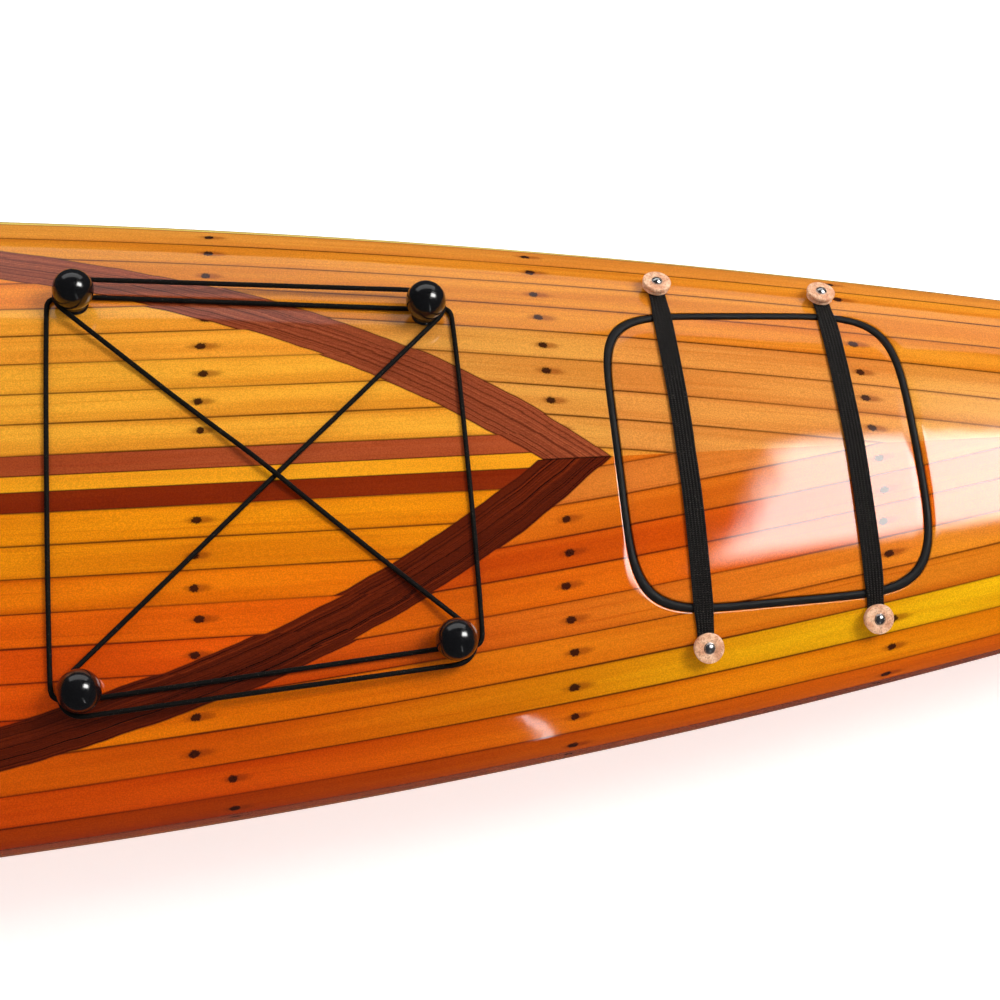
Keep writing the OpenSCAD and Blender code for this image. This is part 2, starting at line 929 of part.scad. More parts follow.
module pedal(side) {
    plate_w = 62;
    plate_h = 96;
    plate_t = 8;
    inner_y = rail_y - rail_t / 2 - run_gap;
    color("#26262a")
        translate([pedal_x, 0, rail_z])
            union() {
                difference() {
                    translate([-carriage_l / 2, side * (rail_y - 2) - carriage_t / 2, -carriage_h / 2])
                        cube([carriage_l, carriage_t, carriage_h]);
                    translate([0, side * rail_y, 0])
                        cube([carriage_l + 2, rail_t + 2 * run_gap, rail_h + 2 * run_gap], center = true);
                    translate([0, side * (rail_y + 10), 0])
                        cube([carriage_l + 2, 20, rail_h - 8], center = true);
                }
                translate([-plate_t / 2, side * (inner_y - 5 - plate_w / 2), 0])
                    cube([plate_t, plate_w, plate_h], center = true);
                translate([0, side * (inner_y - 5 - plate_w / 4), 0])
                    cube([30, plate_w / 2, 10], center = true);
            }
}

// ---- Toggle handles ----
toggle_r = 9;
toggle_len = 96;
toggle_back = 74;
toggle_cord_r = 3;
toggle_leg_y = 17.5;
toggle_bend_r = 5;

function toggle_x(end) = end * (cord_hole_x - toggle_back);
function toggle_z(end) = deck_z(toggle_x(end), 0) + toggle_r + 1;

// The two legs of cord from the block's hole to the toggle, carried on by a length past its middle
module toggle_legs(end, r, past) {
    hole = [end * cord_hole_x, cord_hole_z];
    bar = [toggle_x(end), toggle_z(end)];
    tilt = atan2(bar[0] - hole[0], bar[1] - hole[1]);
    for (side = [PORT, STARBOARD])
        translate([hole[0], side * toggle_leg_y, hole[1]])
            rotate([0, tilt, 0])
                cylinder(r = r, h = norm(bar - hole) + past);
}

module toggle_bar(end) {
    straight = toggle_len - 2 * toggle_r;
    color("#7a3d1a")
        difference() {
            translate([toggle_x(end), 0, toggle_z(end)])
                rotate([90, 0, 0])
                    union() {
                        cylinder(r = toggle_r, h = straight, center = true);
                        for (side = [PORT, STARBOARD])
                            translate([0, 0, side * straight / 2])
                                sphere(r = toggle_r);
                    }
            toggle_legs(end, toggle_cord_r + 0.1, 2 * toggle_r);
        }
}

// From the port end inside the toggle, round through the block's hole, and back on the other side
function toggle_leg(end, side) = let (
        hole = [end * cord_hole_x, side * toggle_leg_y, cord_hole_z],
        bar = [toggle_x(end), side * toggle_leg_y, toggle_z(end)],
        along = (bar - hole) / norm(bar - hole)
    ) concat(
        [for (d = [norm(bar - hole) + toggle_r + 2, norm(bar - hole) / 2, toggle_bend_r]) hole + d * along],
        [
            for (a = [30, 60])
                hole + toggle_bend_r * ((1 - sin(a)) * along - [0, side * (1 - cos(a)), 0])
        ],
        [hole - [0, side * toggle_bend_r, 0]]
    );

module toggle_cord(end) {
    route = concat(toggle_leg(end, PORT), backwards(toggle_leg(end, STARBOARD)));
    last = len(route) - 1;
    color("#141416")
        solid_loft([
            for (i = [0 : last])
                cord_ring(route[i], route[min(i + 1, last)] - route[max(i - 1, 0)], toggle_cord_r)
        ]);
}

hull_side(PORT);  // hull_port_side
hull_side(STARBOARD);  // hull_starboard_side
hull_bilges(0);  // bilges_stern
hull_bilges(1);  // bilges_mid
hull_bilges(2);  // bilges_fore
hull_bilges(3);  // bilges_bow
hull_bottom(0);  // bottom_stern
hull_bottom(1);  // bottom_mid
hull_bottom(2);  // bottom_bow
deck_shell();
end_block(BOW);  // bow_block
end_block(STERN);  // stern_block
keel_strip();
bulkhead(bow_bulkhead_x);  // bow_bulkhead
bulkhead(stern_bulkhead_x);  // stern_bulkhead
coaming_riser();
coaming_lip();
hatch_rim(BOW);  // bow_hatch_rim
hatch_gasket(BOW);  // bow_hatch_gasket
hatch_cover(BOW);  // bow_hatch_cover
hatch_stiffener(BOW);  // bow_hatch_stiffener
hatch_rim(STERN);  // stern_hatch_rim
hatch_gasket(STERN);  // stern_hatch_gasket
hatch_cover(STERN);  // stern_hatch_cover
hatch_stiffener(STERN);  // stern_hatch_stiffener
strap(bow_disc_places[0][0], bow_disc_places[0][1]);  // bow_strap_aft
strap(bow_disc_places[2][0], bow_disc_places[2][1]);  // bow_strap_fore
strap(stern_disc_places[0][0], stern_disc_places[0][1]);  // stern_strap_fore
strap(stern_disc_places[2][0], stern_disc_places[2][1]);  // stern_strap_aft
strap_discs(bow_disc_places);  // bow_strap_discs
strap_discs(stern_disc_places);  // stern_strap_discs
strap_screws(bow_disc_places);  // bow_strap_screws
strap_screws(stern_disc_places);  // stern_strap_screws
knob_balls();
knob_necks();
knob_screws();
bungee_cross();
bungee_square();
seat_bearers();
seat_pan();
seat_cushion();
backrest_lugs();
backrest_pin();
backrest_board();
backrest_pad();
foot_rail(PORT);  // port_foot_rail
rail_studs(PORT);  // port_rail_studs
pedal(PORT);  // port_pedal
foot_rail(STARBOARD);  // starboard_foot_rail
rail_studs(STARBOARD);  // starboard_rail_studs
pedal(STARBOARD);  // starboard_pedal
eyelet(BOW);  // bow_eyelet
eyelet(STERN);  // stern_eyelet
toggle_bar(BOW);  // bow_toggle_bar
toggle_cord(BOW);  // bow_toggle_cord
toggle_bar(STERN);  // stern_toggle_bar
toggle_cord(STERN);  // stern_toggle_cord
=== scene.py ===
import math

import bmesh
import bpy
import numpy as np
from mathutils import Matrix, Vector


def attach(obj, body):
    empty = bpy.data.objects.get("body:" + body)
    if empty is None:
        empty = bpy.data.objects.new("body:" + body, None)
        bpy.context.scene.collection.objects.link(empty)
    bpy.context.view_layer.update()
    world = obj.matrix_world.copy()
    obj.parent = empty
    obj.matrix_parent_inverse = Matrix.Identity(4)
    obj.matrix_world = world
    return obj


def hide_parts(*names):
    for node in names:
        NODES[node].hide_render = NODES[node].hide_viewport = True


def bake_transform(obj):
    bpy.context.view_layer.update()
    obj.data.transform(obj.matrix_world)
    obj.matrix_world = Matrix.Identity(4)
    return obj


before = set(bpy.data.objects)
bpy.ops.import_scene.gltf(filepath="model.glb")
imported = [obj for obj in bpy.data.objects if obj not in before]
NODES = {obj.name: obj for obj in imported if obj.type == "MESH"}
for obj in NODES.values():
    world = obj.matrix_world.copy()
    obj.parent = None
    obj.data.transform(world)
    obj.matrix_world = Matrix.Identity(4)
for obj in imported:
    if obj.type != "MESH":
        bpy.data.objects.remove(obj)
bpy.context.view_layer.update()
SCENE = bpy.context.scene

# ---- camera
EYE = Vector((0.8042, -0.4898, 1.6272))
camera = bpy.data.objects.new("camera", bpy.data.cameras.new("camera"))
SCENE.collection.objects.link(camera)
camera.data.sensor_width = 36
camera.data.lens = 59.4
camera.data.clip_start, camera.data.clip_end = 0.05, 200
turn = Matrix.Rotation(-0.4582, 4, "Z") @ Matrix.Rotation(0.3718, 4, "X") @ Matrix.Rotation(0.3832, 4, "Z")
camera.matrix_world = Matrix.Translation(EYE) @ turn
SCENE.camera = camera
SCENE.view_settings.view_transform = "Standard"
SCENE.view_settings.look = "None"

# ---- lines of the boat, as in the CAD
HALF_LEN, HALF_BEAM, NOSE_R = 2.4, 0.3005, 0.008
DECK_N, DECK_M = 2.5426, 1.894
PLANK_T, KEEL_T, GLUE = 0.006, 0.005, 0.0002
SHELL_END = HALF_LEN - 0.138
STRIP_W = 0.028


def frac(x):
    return np.minimum(np.abs(x) / HALF_LEN, 1)


def plan_y(x):
    return HALF_BEAM * (1 - frac(x) ** 2.3) ** 1.3356


def half_breadth(x):
    reach = np.maximum(0, np.abs(x) - HALF_LEN + NOSE_R) / NOSE_R
    nose = NOSE_R * np.sqrt(np.maximum(0, 1 - reach**2))
    return np.cbrt(plan_y(x) ** 3 + nose**3)


def sheer_z(x):
    return 0.24 + 0.058 * frac(x) ** 2.2 + 0.035 * (np.maximum(0, np.abs(x) - 1.75) / 0.65) ** 2


def smooth(t):
    t = np.clip(t, 0, 1)
    return t * t * (3 - 2 * t)


def crown(x):
    aft = 1 - 0.25 * smooth((0.15 - x) / 0.6)
    tail = np.maximum(0, 1 - (np.maximum(0, np.abs(x) - 1.6) / 0.8) ** 2) ** 0.6
    return 0.079 * aft * tail * (plan_y(x) / HALF_BEAM) ** 0.1475


def deck_z(x, y, inset=0.0):
    out = np.minimum(1, np.abs(y) / (half_breadth(x) - inset))
    return sheer_z(x) + (crown(x) - inset) * (1 - out**DECK_N) ** (1 / DECK_M)


def keel_z(x):
    base = KEEL_T + 0.02 * (np.maximum(0, np.abs(x) - 0.7) / 1.7) ** 3
    u = np.maximum(0, np.abs(x) - 1.95) / 0.45
    rise = 1 - np.maximum(0, 1 - u**2.4) ** (1 / 1.6)
    return base + (sheer_z(np.float64(HALF_LEN)) - base) * rise


def bilge(x):
    return 1.2 + 1.3 * (1 - frac(x) ** 2)


def signed_pow(v, p):
    return np.sign(v) * np.abs(v) ** p


def deck_ring(x, a, inset=0.0):
    """Deck section at station x, for angles from -pi/2 at starboard to pi/2 at port."""
    y = (half_breadth(x) - inset) * signed_pow(np.sin(a), 2 / DECK_N)
    z = sheer_z(x) + (crown(x) - inset) * np.abs(np.cos(a)) ** (2 / DECK_M)
    return np.stack([np.full_like(a, x), y, z], 1)


def hull_ring(x, a, inset=0.0, drop=0.0):
    """Hull section at station x, for angles from 0 at the port sheer to pi at starboard."""
    depth = sheer_z(x) - keel_z(x) - inset
    y = (half_breadth(x) - inset) * signed_pow(np.cos(a), 2 / bilge(x))
    z = sheer_z(x) - drop - (depth - drop) * np.abs(np.sin(a)) ** (2 / (bilge(x) + 0.1))
    return np.stack([np.full_like(a, x), y, z], 1)


def deck_normal(x, y):
    step = 0.002
    dx = (deck_z(x + step, y) - deck_z(x - step, y)) / (2 * step)
    dy = (deck_z(x, y + step) - deck_z(x, y - step)) / (2 * step)
    n = np.array([-dx, -dy, 1.0])
    return n / np.linalg.norm(n)


def over_deck(x, y, h):
    return np.array([x, y, float(deck_z(x, y))]) + h * deck_normal(x, y)


def on_deck(x, y):
    """Matrix that stands a piece on the deck, with its Z along the deck's normal."""
    n = Vector(deck_normal(x, y))
    place = Matrix.Translation((x, y, float(deck_z(x, y))))
    return place @ Vector((0, 0, 1)).rotation_difference(n).to_matrix().to_4x4()


# ---- mesh helpers
def grid_faces(n, m, wrap_m=False, wrap_n=False):
    """Quads over n rows of m points."""
    rows = n if wrap_n else n - 1
    cols = m if wrap_m else m - 1
    return [(i * m + j, i * m + (j + 1) % m, ((i + 1) % n) * m + (j + 1) % m, ((i + 1) % n) * m + j)
            for i in range(rows) for j in range(cols)]


def new_object(name, verts, faces, sharp=38):
    mesh = bpy.data.meshes.new(name)
    mesh.from_pydata(np.asarray(verts, float).tolist(), [], faces)
    mesh.validate()
    obj = bpy.data.objects.new(name, mesh)
    SCENE.collection.objects.link(obj)
    fix_normals(obj)
    shade(obj, sharp)
    return obj


def fix_normals(obj, weld=0.0):
    """Turns every face outwards, after merging points that are closer than weld."""
    bm = bmesh.new()
    bm.from_mesh(obj.data)
    if weld:
        bmesh.ops.remove_doubles(bm, verts=bm.verts, dist=weld)
    bmesh.ops.recalc_face_normals(bm, faces=bm.faces)
    bm.to_mesh(obj.data)
    bm.free()


def shade(obj, sharp=38):
    mesh = obj.data
    mesh.polygons.foreach_set("use_smooth", [True] * len(mesh.polygons))
    mesh.set_sharp_from_angle(angle=math.radians(sharp))


def bake(obj):
    """Applies every modifier of an object."""
    bpy.context.view_layer.update()
    graph = bpy.context.evaluated_depsgraph_get()
    mesh = bpy.data.meshes.new_from_object(obj.evaluated_get(graph))
    obj.modifiers.clear()
    obj.data = mesh


def settle(obj, body, material, replaced=()):
    """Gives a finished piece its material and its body."""
    obj.data.materials.clear()
    obj.data.materials.append(material)
    if body:
        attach(obj, body)
    if replaced:
        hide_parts(*replaced)


def skin(name, rings):
    """A plank skin: each ring is its outer line, then its inner line backwards."""
    n, m = len(rings), len(rings[0])
    faces = grid_faces(n, m, wrap_m=True)
    for base in (0, (n - 1) * m):
        faces += [(base + i, base + i + 1, base + m - 2 - i, base + m - 1 - i) for i in range(m // 2 - 1)]
    return new_object(name, np.concatenate(rings), faces)


def loft(name, rings, closed=False, sharp=38):
    """A solid through closed rings, with end caps unless it closes on itself."""
    n, m = len(rings), len(rings[0])
    faces = grid_faces(n, m, wrap_m=True, wrap_n=closed)
    if not closed:
        faces += [tuple(range(m)), tuple(range((n - 1) * m, n * m))]
    return new_object(name, np.concatenate(rings), faces, sharp)


def lathe(profile, steps=56, closed=False):
    """Vertices and faces of a (radius, height) profile turned round Z; a bored disc's closes on itself."""
    profile = np.asarray(profile, float)
    a = np.arange(steps) * 2 * np.pi / steps
    verts = [[r * math.cos(t), r * math.sin(t), z] for t in a for r, z in profile]
    return np.array(verts), grid_faces(steps, len(profile), wrap_m=closed, wrap_n=True)


def many(name, parts, places, sharp=38):
    """One mesh of the same turned parts at several matrices."""
    verts, faces, base = [], [], 0
    for place in places:
        for v, f in parts:
            m = np.array(place)
            verts.append(v @ m[:3, :3].T + m[:3, 3])
            faces += [tuple(base + k for k in face) for face in f]
            base += len(v)
    obj = new_object(name, np.concatenate(verts), faces, sharp)
    fix_normals(obj, weld=1e-6)
    shade(obj, sharp)
    return obj


def prism(name, outline, low, high):
    low_ring = np.column_stack([outline, np.full(len(outline), low)])
    high_ring = np.column_stack([outline, np.full(len(outline), high)])
    return loft(name, [low_ring, high_ring])


def cut(obj, cutters):
    for cutter in cutters:
        boolean = obj.modifiers.new("cut", "BOOLEAN")
        boolean.operation = "DIFFERENCE"
        boolean.solver = "EXACT"
        boolean.object = cutter
    bake(obj)
    for cutter in cutters:
        bpy.data.objects.remove(cutter)
    shade(obj)


def resample(route, spacing, closed=False):
    """Evenly spaced points along a polyline."""
    route = np.asarray(route, float)
    if closed:
        route = np.vstack([route, route[:1]])
    step = np.linalg.norm(np.diff(route, axis=0), axis=1)
    s = np.concatenate([[0], np.cumsum(step)])
    count = max(4, int(round(s[-1] / spacing)))
    t = np.linspace(0, s[-1], count + 1)
    points = np.stack([np.interp(t, s, route[:, k]) for k in range(3)], 1)
    return points[:-1] if closed else points


def soften(route, passes, closed=False):
    """Rounds the corners of a route a little."""
    route = np.array(route)
    for _ in range(passes):
        mean = (np.roll(route, 1, 0) + 2 * route + np.roll(route, -1, 0)) / 4
        if not closed:
            mean[0], mean[-1] = route[0], route[-1]
        route = mean
    return route


def braid(name, route, radius, closed=False, sides=14, pitch=0.009):
    """A braided cord: a tube whose surface carries two crossing sets of strands."""
    n = len(route)
    ahead = np.roll(route, -1, 0) - np.roll(route, 1, 0)
    if not closed:
        ahead[0], ahead[-1] = route[1] - route[0], route[-1] - route[-2]
    ahead /= np.linalg.norm(ahead, axis=1)[:, None]
    side = np.cross(ahead, [0, 0, 1])
    side /= np.linalg.norm(side, axis=1)[:, None]
    up = np.cross(side, ahead)
    a = np.arange(sides) * 2 * np.pi / sides
    s = np.arange(n) * np.linalg.norm(route[1] - route[0]) * 2 * np.pi / pitch
    woven = np.sin(3 * a[None] + s[:, None]) * np.sin(3 * a[None] - s[:, None])
    r = radius * (0.96 + 0.05 * woven)
    rings = route[:, None] + r[..., None] * (
        np.cos(a)[None, :, None] * side[:, None] + np.sin(a)[None, :, None] * up[:, None]
    )
    return loft(name, list(rings), closed=closed, sharp=80)


# ---- attributes that lay out the strips
STATIONS = np.linspace(-HALF_LEN, HALF_LEN, 961)
ANGLES = np.linspace(0, np.pi / 2, 181)


def girth_table(ring):
    """Length round the section from angle 0, at each station and angle."""
    table = np.zeros((len(STATIONS), len(ANGLES)))
    for i, x in enumerate(STATIONS):
        p = ring(x, ANGLES)
        table[i, 1:] = np.cumsum(np.linalg.norm(np.diff(p[:, 1:], axis=0), axis=1))
    return table


DECK_GIRTH = girth_table(deck_ring)
HULL_GIRTH = girth_table(hull_ring)


def look_up(table, x, a):
    u = np.clip((x + HALF_LEN) / (2 * HALF_LEN) * (len(STATIONS) - 1), 0, len(STATIONS) - 1.001)
    v = np.clip(a / (np.pi / 2) * (len(ANGLES) - 1), 0, len(ANGLES) - 1.001)
    i, j = u.astype(int), v.astype(int)
    fu, fv = u - i, v - j
    low = table[i, j] * (1 - fv) + table[i, j + 1] * fv
    high = table[i + 1, j] * (1 - fv) + table[i + 1, j + 1] * fv
    return low * (1 - fu) + high * fu


def inlay_edges(x):
    """Half-widths of the outer and inner edge of the V inlays, and the cosine of their slope."""
    u = 0.1 + np.sqrt((x - 0.1) ** 2 + 0.0025)
    outer = 0.30 * (1 - np.exp(-np.minimum(1.6, 1.130 - u) / 0.35))
    inner = 0.28 * (1 - np.exp(-np.minimum(1.6, 1.071 - u) / 0.37))
    slope = 0.81 * np.exp(-(1.1 - u) / 0.36)
    return np.maximum(outer, -1), np.maximum(inner, -1), 1 / np.sqrt(1 + np.minimum(slope, 1) ** 2)


def lay_strips(obj, part="deck"):
    """Stores where each point lies among the strips: along, signed girth, half girth; and the inlay."""
    mesh = obj.data
    co = np.zeros(len(mesh.vertices) * 3, np.float32)
    mesh.vertices.foreach_get("co", co)
    x, y, z = co.reshape(-1, 3).astype(float).T
    if part == "deck":
        a = np.arcsin(np.minimum(1, np.abs(y) / half_breadth(x)) ** (DECK_N / 2))
        girth = look_up(DECK_GIRTH, x, a)
        half = look_up(DECK_GIRTH, x, np.full_like(x, np.pi / 2))
    else:
        drop = np.clip((sheer_z(x) - z) / (sheer_z(x) - keel_z(x) + 1e-9), 0, 1)
        a = np.arcsin(drop ** ((bilge(x) + 0.1) / 2))
        half = look_up(HULL_GIRTH, x, np.full_like(x, np.pi / 2))
        girth = half - look_up(HULL_GIRTH, x, a)
    outer, inner, cosine = inlay_edges(x)
    for name, values in (
        ("lay", (x, np.sign(y) * girth, half)),
        ("inlay", (outer, inner, cosine)),
    ):
        attribute = mesh.attributes.new(name, "FLOAT_VECTOR", "POINT")
        attribute.data.foreach_set("vector", np.stack(values, 1).astype(np.float32).ravel())


# ---- shader helpers
def rgb(r, g, b):
    """Linear colour from 0-255 display values."""
    def one(c):
        c = c / 255
        return c / 12.92 if c <= 0.04045 else ((c + 0.055) / 1.055) ** 2.4
    return (one(r), one(g), one(b), 1.0)


class Paint:
    """Short spellings for the nodes of one material."""

    def __init__(self, name):
        self.material = bpy.data.materials.new(name)
        self.material.use_nodes = True
        self.tree = self.material.node_tree
        self.tree.nodes.clear()
        self.out = self.tree.nodes.new("ShaderNodeOutputMaterial")

    def put(self, socket, value):
        if isinstance(value, bpy.types.NodeSocket):
            self.tree.links.new(value, socket)
        elif value is not None:
            socket.default_value = value

    def node(self, kind, out=0, settings=None, **inputs):
        n = self.tree.nodes.new(kind)
        for key, value in (settings or {}).items():
            setattr(n, key, value)
        for key, value in inputs.items():
            self.put(n.inputs[key.replace("_", " ")], value)
        return n.outputs[out]

    def math(self, operation, *values):
        n = self.tree.nodes.new("ShaderNodeMath")
        n.operation = operation
        for socket, value in zip(n.inputs, values):
            self.put(socket, value)
        return n.outputs[0]

    def mul(self, a, b):
        return self.math("MULTIPLY", a, b)

    def add(self, a, b):
        return self.math("ADD", a, b)

    def sub(self, a, b):
        return self.math("SUBTRACT", a, b)

    def div(self, a, b):
        return self.math("DIVIDE", a, b)

    def least(self, a, b):
        return self.math("MINIMUM", a, b)

    def absolute(self, a):
        return self.math("ABSOLUTE", a)

    def floor(self, a):
        return self.math("FLOOR", a)

    def sine(self, a):
        return self.math("SINE", a)

    def mix(self, factor, a, b, blend="MIX"):
        n = self.tree.nodes.new("ShaderNodeMix")
        n.data_type = "RGBA"
        n.blend_type = blend
        self.put(n.inputs[0], factor)
        self.put(n.inputs[6], a)
        self.put(n.inputs[7], b)
        return n.outputs[2]

    def times(self, colour, factor):
        return self.mix(1.0, colour, factor, "MULTIPLY")

    def mix_value(self, factor, a, b):
        n = self.tree.nodes.new("ShaderNodeMix")
        self.put(n.inputs[0], factor)
        self.put(n.inputs[2], a)
        self.put(n.inputs[3], b)
        return n.outputs[0]

    def step(self, value, low, high, to_low=0.0, to_high=1.0):
        n = self.tree.nodes.new("ShaderNodeMapRange")
        n.interpolation_type = "SMOOTHSTEP"
        for socket, v in zip(n.inputs, (value, low, high, to_low, to_high)):
            self.put(socket, v)
        return n.outputs[0]

    def ramp(self, factor, colours):
        """A colour for each strip: the stops are evenly spaced over 0 to 1."""
        n = self.tree.nodes.new("ShaderNodeValToRGB")
        n.color_ramp.interpolation = "CONSTANT"
        stops = n.color_ramp.elements
        while len(stops) < len(colours):
            stops.new(0.5)
        for i, colour in enumerate(colours):
            stops[i].position = i / len(colours)
            stops[i].color = colour
        self.put(n.inputs[0], factor)
        return n.outputs[0]

    def vector(self, x, y, z):
        return self.node("ShaderNodeCombineXYZ", X=x, Y=y, Z=z)

    def split(self, vector):
        n = self.tree.nodes.new("ShaderNodeSeparateXYZ")
        self.put(n.inputs[0], vector)
        return n.outputs

    def noise(self, vector, scale=1.0, detail=3.0, rough=0.5, distortion=0.0):
        return self.node("ShaderNodeTexNoise", Vector=vector, Scale=scale, Detail=detail,
                         Roughness=rough, Distortion=distortion)

    def fine(self, scale, detail=3.0, rough=0.5):
        """Noise laid in the boat's own space."""
        return self.noise(self.place(), scale, detail, rough)

    def bump(self, height, distance, strength=1.0):
        return self.node("ShaderNodeBump", Strength=strength, Distance=distance, Height=height)

    def place(self):
        return self.node("ShaderNodeTexCoord", out=3)

    def scatter(self, seed):
        """The same chance value from 0 to 1 for the same seed."""
        return self.node("ShaderNodeTexWhiteNoise", settings={"noise_dimensions": "1D"}, W=seed)

    def attribute(self, name):
        return self.node("ShaderNodeAttribute", out=1, settings={"attribute_name": name})

    def finish(self, **inputs):
        shader = self.node("ShaderNodeBsdfPrincipled", **inputs)
        self.tree.links.new(shader, self.out.inputs[0])
        return self.material


# ---- varnished cedar strips
CEDAR = {name: rgb(*tone) for name, tone in {
    "sapwood": (245, 220, 115), "straw": (215, 147, 62), "honey": (217, 141, 50), "amber": (214, 134, 34),
    "gold": (225, 156, 52), "butter": (235, 162, 46), "apricot": (240, 163, 50), "tangerine": (235, 136, 32),
    "marigold": (228, 135, 8), "saffron": (230, 174, 14), "pumpkin": (226, 115, 5), "flame": (225, 97, 5),
    "ember": (224, 86, 5), "copper": (212, 97, 8), "rust": (206, 86, 5), "brick": (203, 72, 5),
    "russet": (185, 60, 5), "redwood": (160, 54, 5), "chestnut": (204, 113, 22), "ochre": (216, 128, 30),
}.items()}


def tones(names):
    return [CEDAR[name] for name in names.split()]


# Tones of the deck's strips on each side, from the deck edge in; and within the V, from the middle out.
# Besides each strip's own tone they carry painted light and shade: the port tables are lighter and paler
# (painted light, with a painted varnish reflection in the pale port edge strip), the starboard tables darker
# (painted shade), and the starboard aft strips darker than the fore ones (painted shade).
PORT_OUT = tones("sapwood honey amber amber amber straw straw straw straw gold honey gold")
STBD_OUT_AFT = tones("redwood brick rust pumpkin brick copper russet copper russet copper brick copper")
STBD_OUT_FORE = tones(
    "copper marigold saffron chestnut ochre copper copper chestnut honey ochre chestnut ochre")
PORT_IN = tones("butter butter butter apricot apricot tangerine tangerine")
STBD_IN = tones("marigold marigold pumpkin flame ember ember russet")
HULL_TONES = [rgb(*c) for c in (
    (176, 70, 14), (214, 112, 26), (200, 88, 18), (224, 128, 34), (206, 98, 22), (190, 78, 16),
    (220, 118, 28), (228, 138, 40), (202, 92, 20), (216, 110, 24), (196, 84, 18), (222, 124, 32),
    (208, 100, 22), (188, 78, 18))]
DARK_JOINT, DARK_SEAM = rgb(62, 18, 6), rgb(30, 8, 3)
PIN_IN, PIN_OUT, PIN_BLUR, PIN_EDGE = 0.0071, 0.0249, 0.0003, 0.025
PEG_PITCH, PEG_ROW = 0.285, 1.081
# The V inlay's walnut, starboard then port; the port tones are lighter than the starboard ones, which is
# painted light on the port side and painted shade on the starboard side, over the walnut's own tone
V_PLAIN = rgb(92, 28, 7), rgb(146, 68, 38)
V_DEEP = rgb(58, 14, 4), rgb(112, 44, 22)
V_DARK = rgb(42, 9, 3), rgb(90, 32, 16)
V_PALE = rgb(136, 48, 10), rgb(182, 98, 58)
LAMINAE = 4


def varnish(p, colour, grain_height, rough=0.5):
    """Clear gloss varnish over wood, with the slight waves of a hand-laid coat."""
    waves = p.fine(9.0, 2.0, 0.4)
    ripple = p.fine(70.0, 2.0, 0.5)
    coat = p.bump(p.add(p.mul(waves, 1.0), p.mul(ripple, 0.03)), 0.0012, 0.5)
    base = p.bump(grain_height, 0.0003, 0.35)
    return p.finish(Base_Color=colour, Roughness=rough, Specular_IOR_Level=0.0, Normal=base,
                    Coat_Weight=1.0, Coat_Roughness=0.05, Coat_IOR=1.5, Coat_Normal=coat)


def pore_lines(p, along, across, seed):
    return p.noise(p.vector(p.mul(along, 60.0), p.mul(across, 1500.0), seed), 1.0, 2.0, 0.5)


def grain(p, along, across, seed):
    """Cedar figure: broad tone drift, long growth lines and fine pores, from 0 to 1 each."""
    drift = p.noise(p.vector(p.mul(along, 2.2), p.mul(across, 45.0), seed), 1.0, 3.0, 0.55)
    lines = p.noise(p.vector(p.mul(along, 4.0), p.mul(across, 330.0), seed), 1.0, 4.0, 0.6, 0.4)
    return drift, lines, pore_lines(p, along, across, seed)


def figured(p, colour, drift, lines, pores, depth=1.0):
    """Works the figure into a base colour."""
    deep = p.times(colour, (0.74, 0.50, 0.34, 1))
    pale = p.times(colour, (1.10, 1.20, 1.30, 1))
    colour = p.mix(p.mul(p.step(drift, 0.34, 0.66), 0.55 * depth), colour, deep)
    colour = p.mix(p.mul(p.step(drift, 0.62, 0.30), 0.30 * depth), colour, pale)
    colour = p.mix(p.mul(p.step(lines, 0.54, 0.74), 0.55 * depth), colour, deep)
    return p.mix(p.mul(p.step(pores, 0.52, 0.72), 0.22 * depth), colour, deep)


def pegs(p, along, across_m, seed):
    """A dark peg in each strip, in rows across the boat: its core, and the stain that trails from it."""
    jitter = p.scatter(seed)
    shift = p.scatter(p.add(seed, 0.37))
    row = p.div(p.sub(along, PEG_ROW), PEG_PITCH)
    off = p.mul(p.sub(row, p.math("ROUND", row)), PEG_PITCH)
    off = p.add(off, p.mul(p.sub(jitter, 0.5), 0.006))
    across = p.add(p.mul(p.sub(across_m, 0.5), STRIP_W), p.mul(p.sub(shift, 0.5), 0.004))
    wobble = p.mul(p.sub(p.fine(500.0, 3.0, 0.7), 0.5), 1.3)
    u = p.div(off, p.mix_value(shift, 0.0034, 0.0046))
    v = p.div(across, 0.0031)
    d = p.add(p.math("SQRT", p.add(p.mul(u, u), p.mul(v, v))), wobble)
    tail = p.mul(p.sub(u, 0.8), 0.36)
    halo = p.add(p.math("SQRT", p.add(p.mul(tail, tail), p.mul(v, v))), p.mul(wobble, 0.6))
    return p.step(d, 1.25, 0.80), p.mul(p.step(halo, 1.5, 0.5), 0.6)


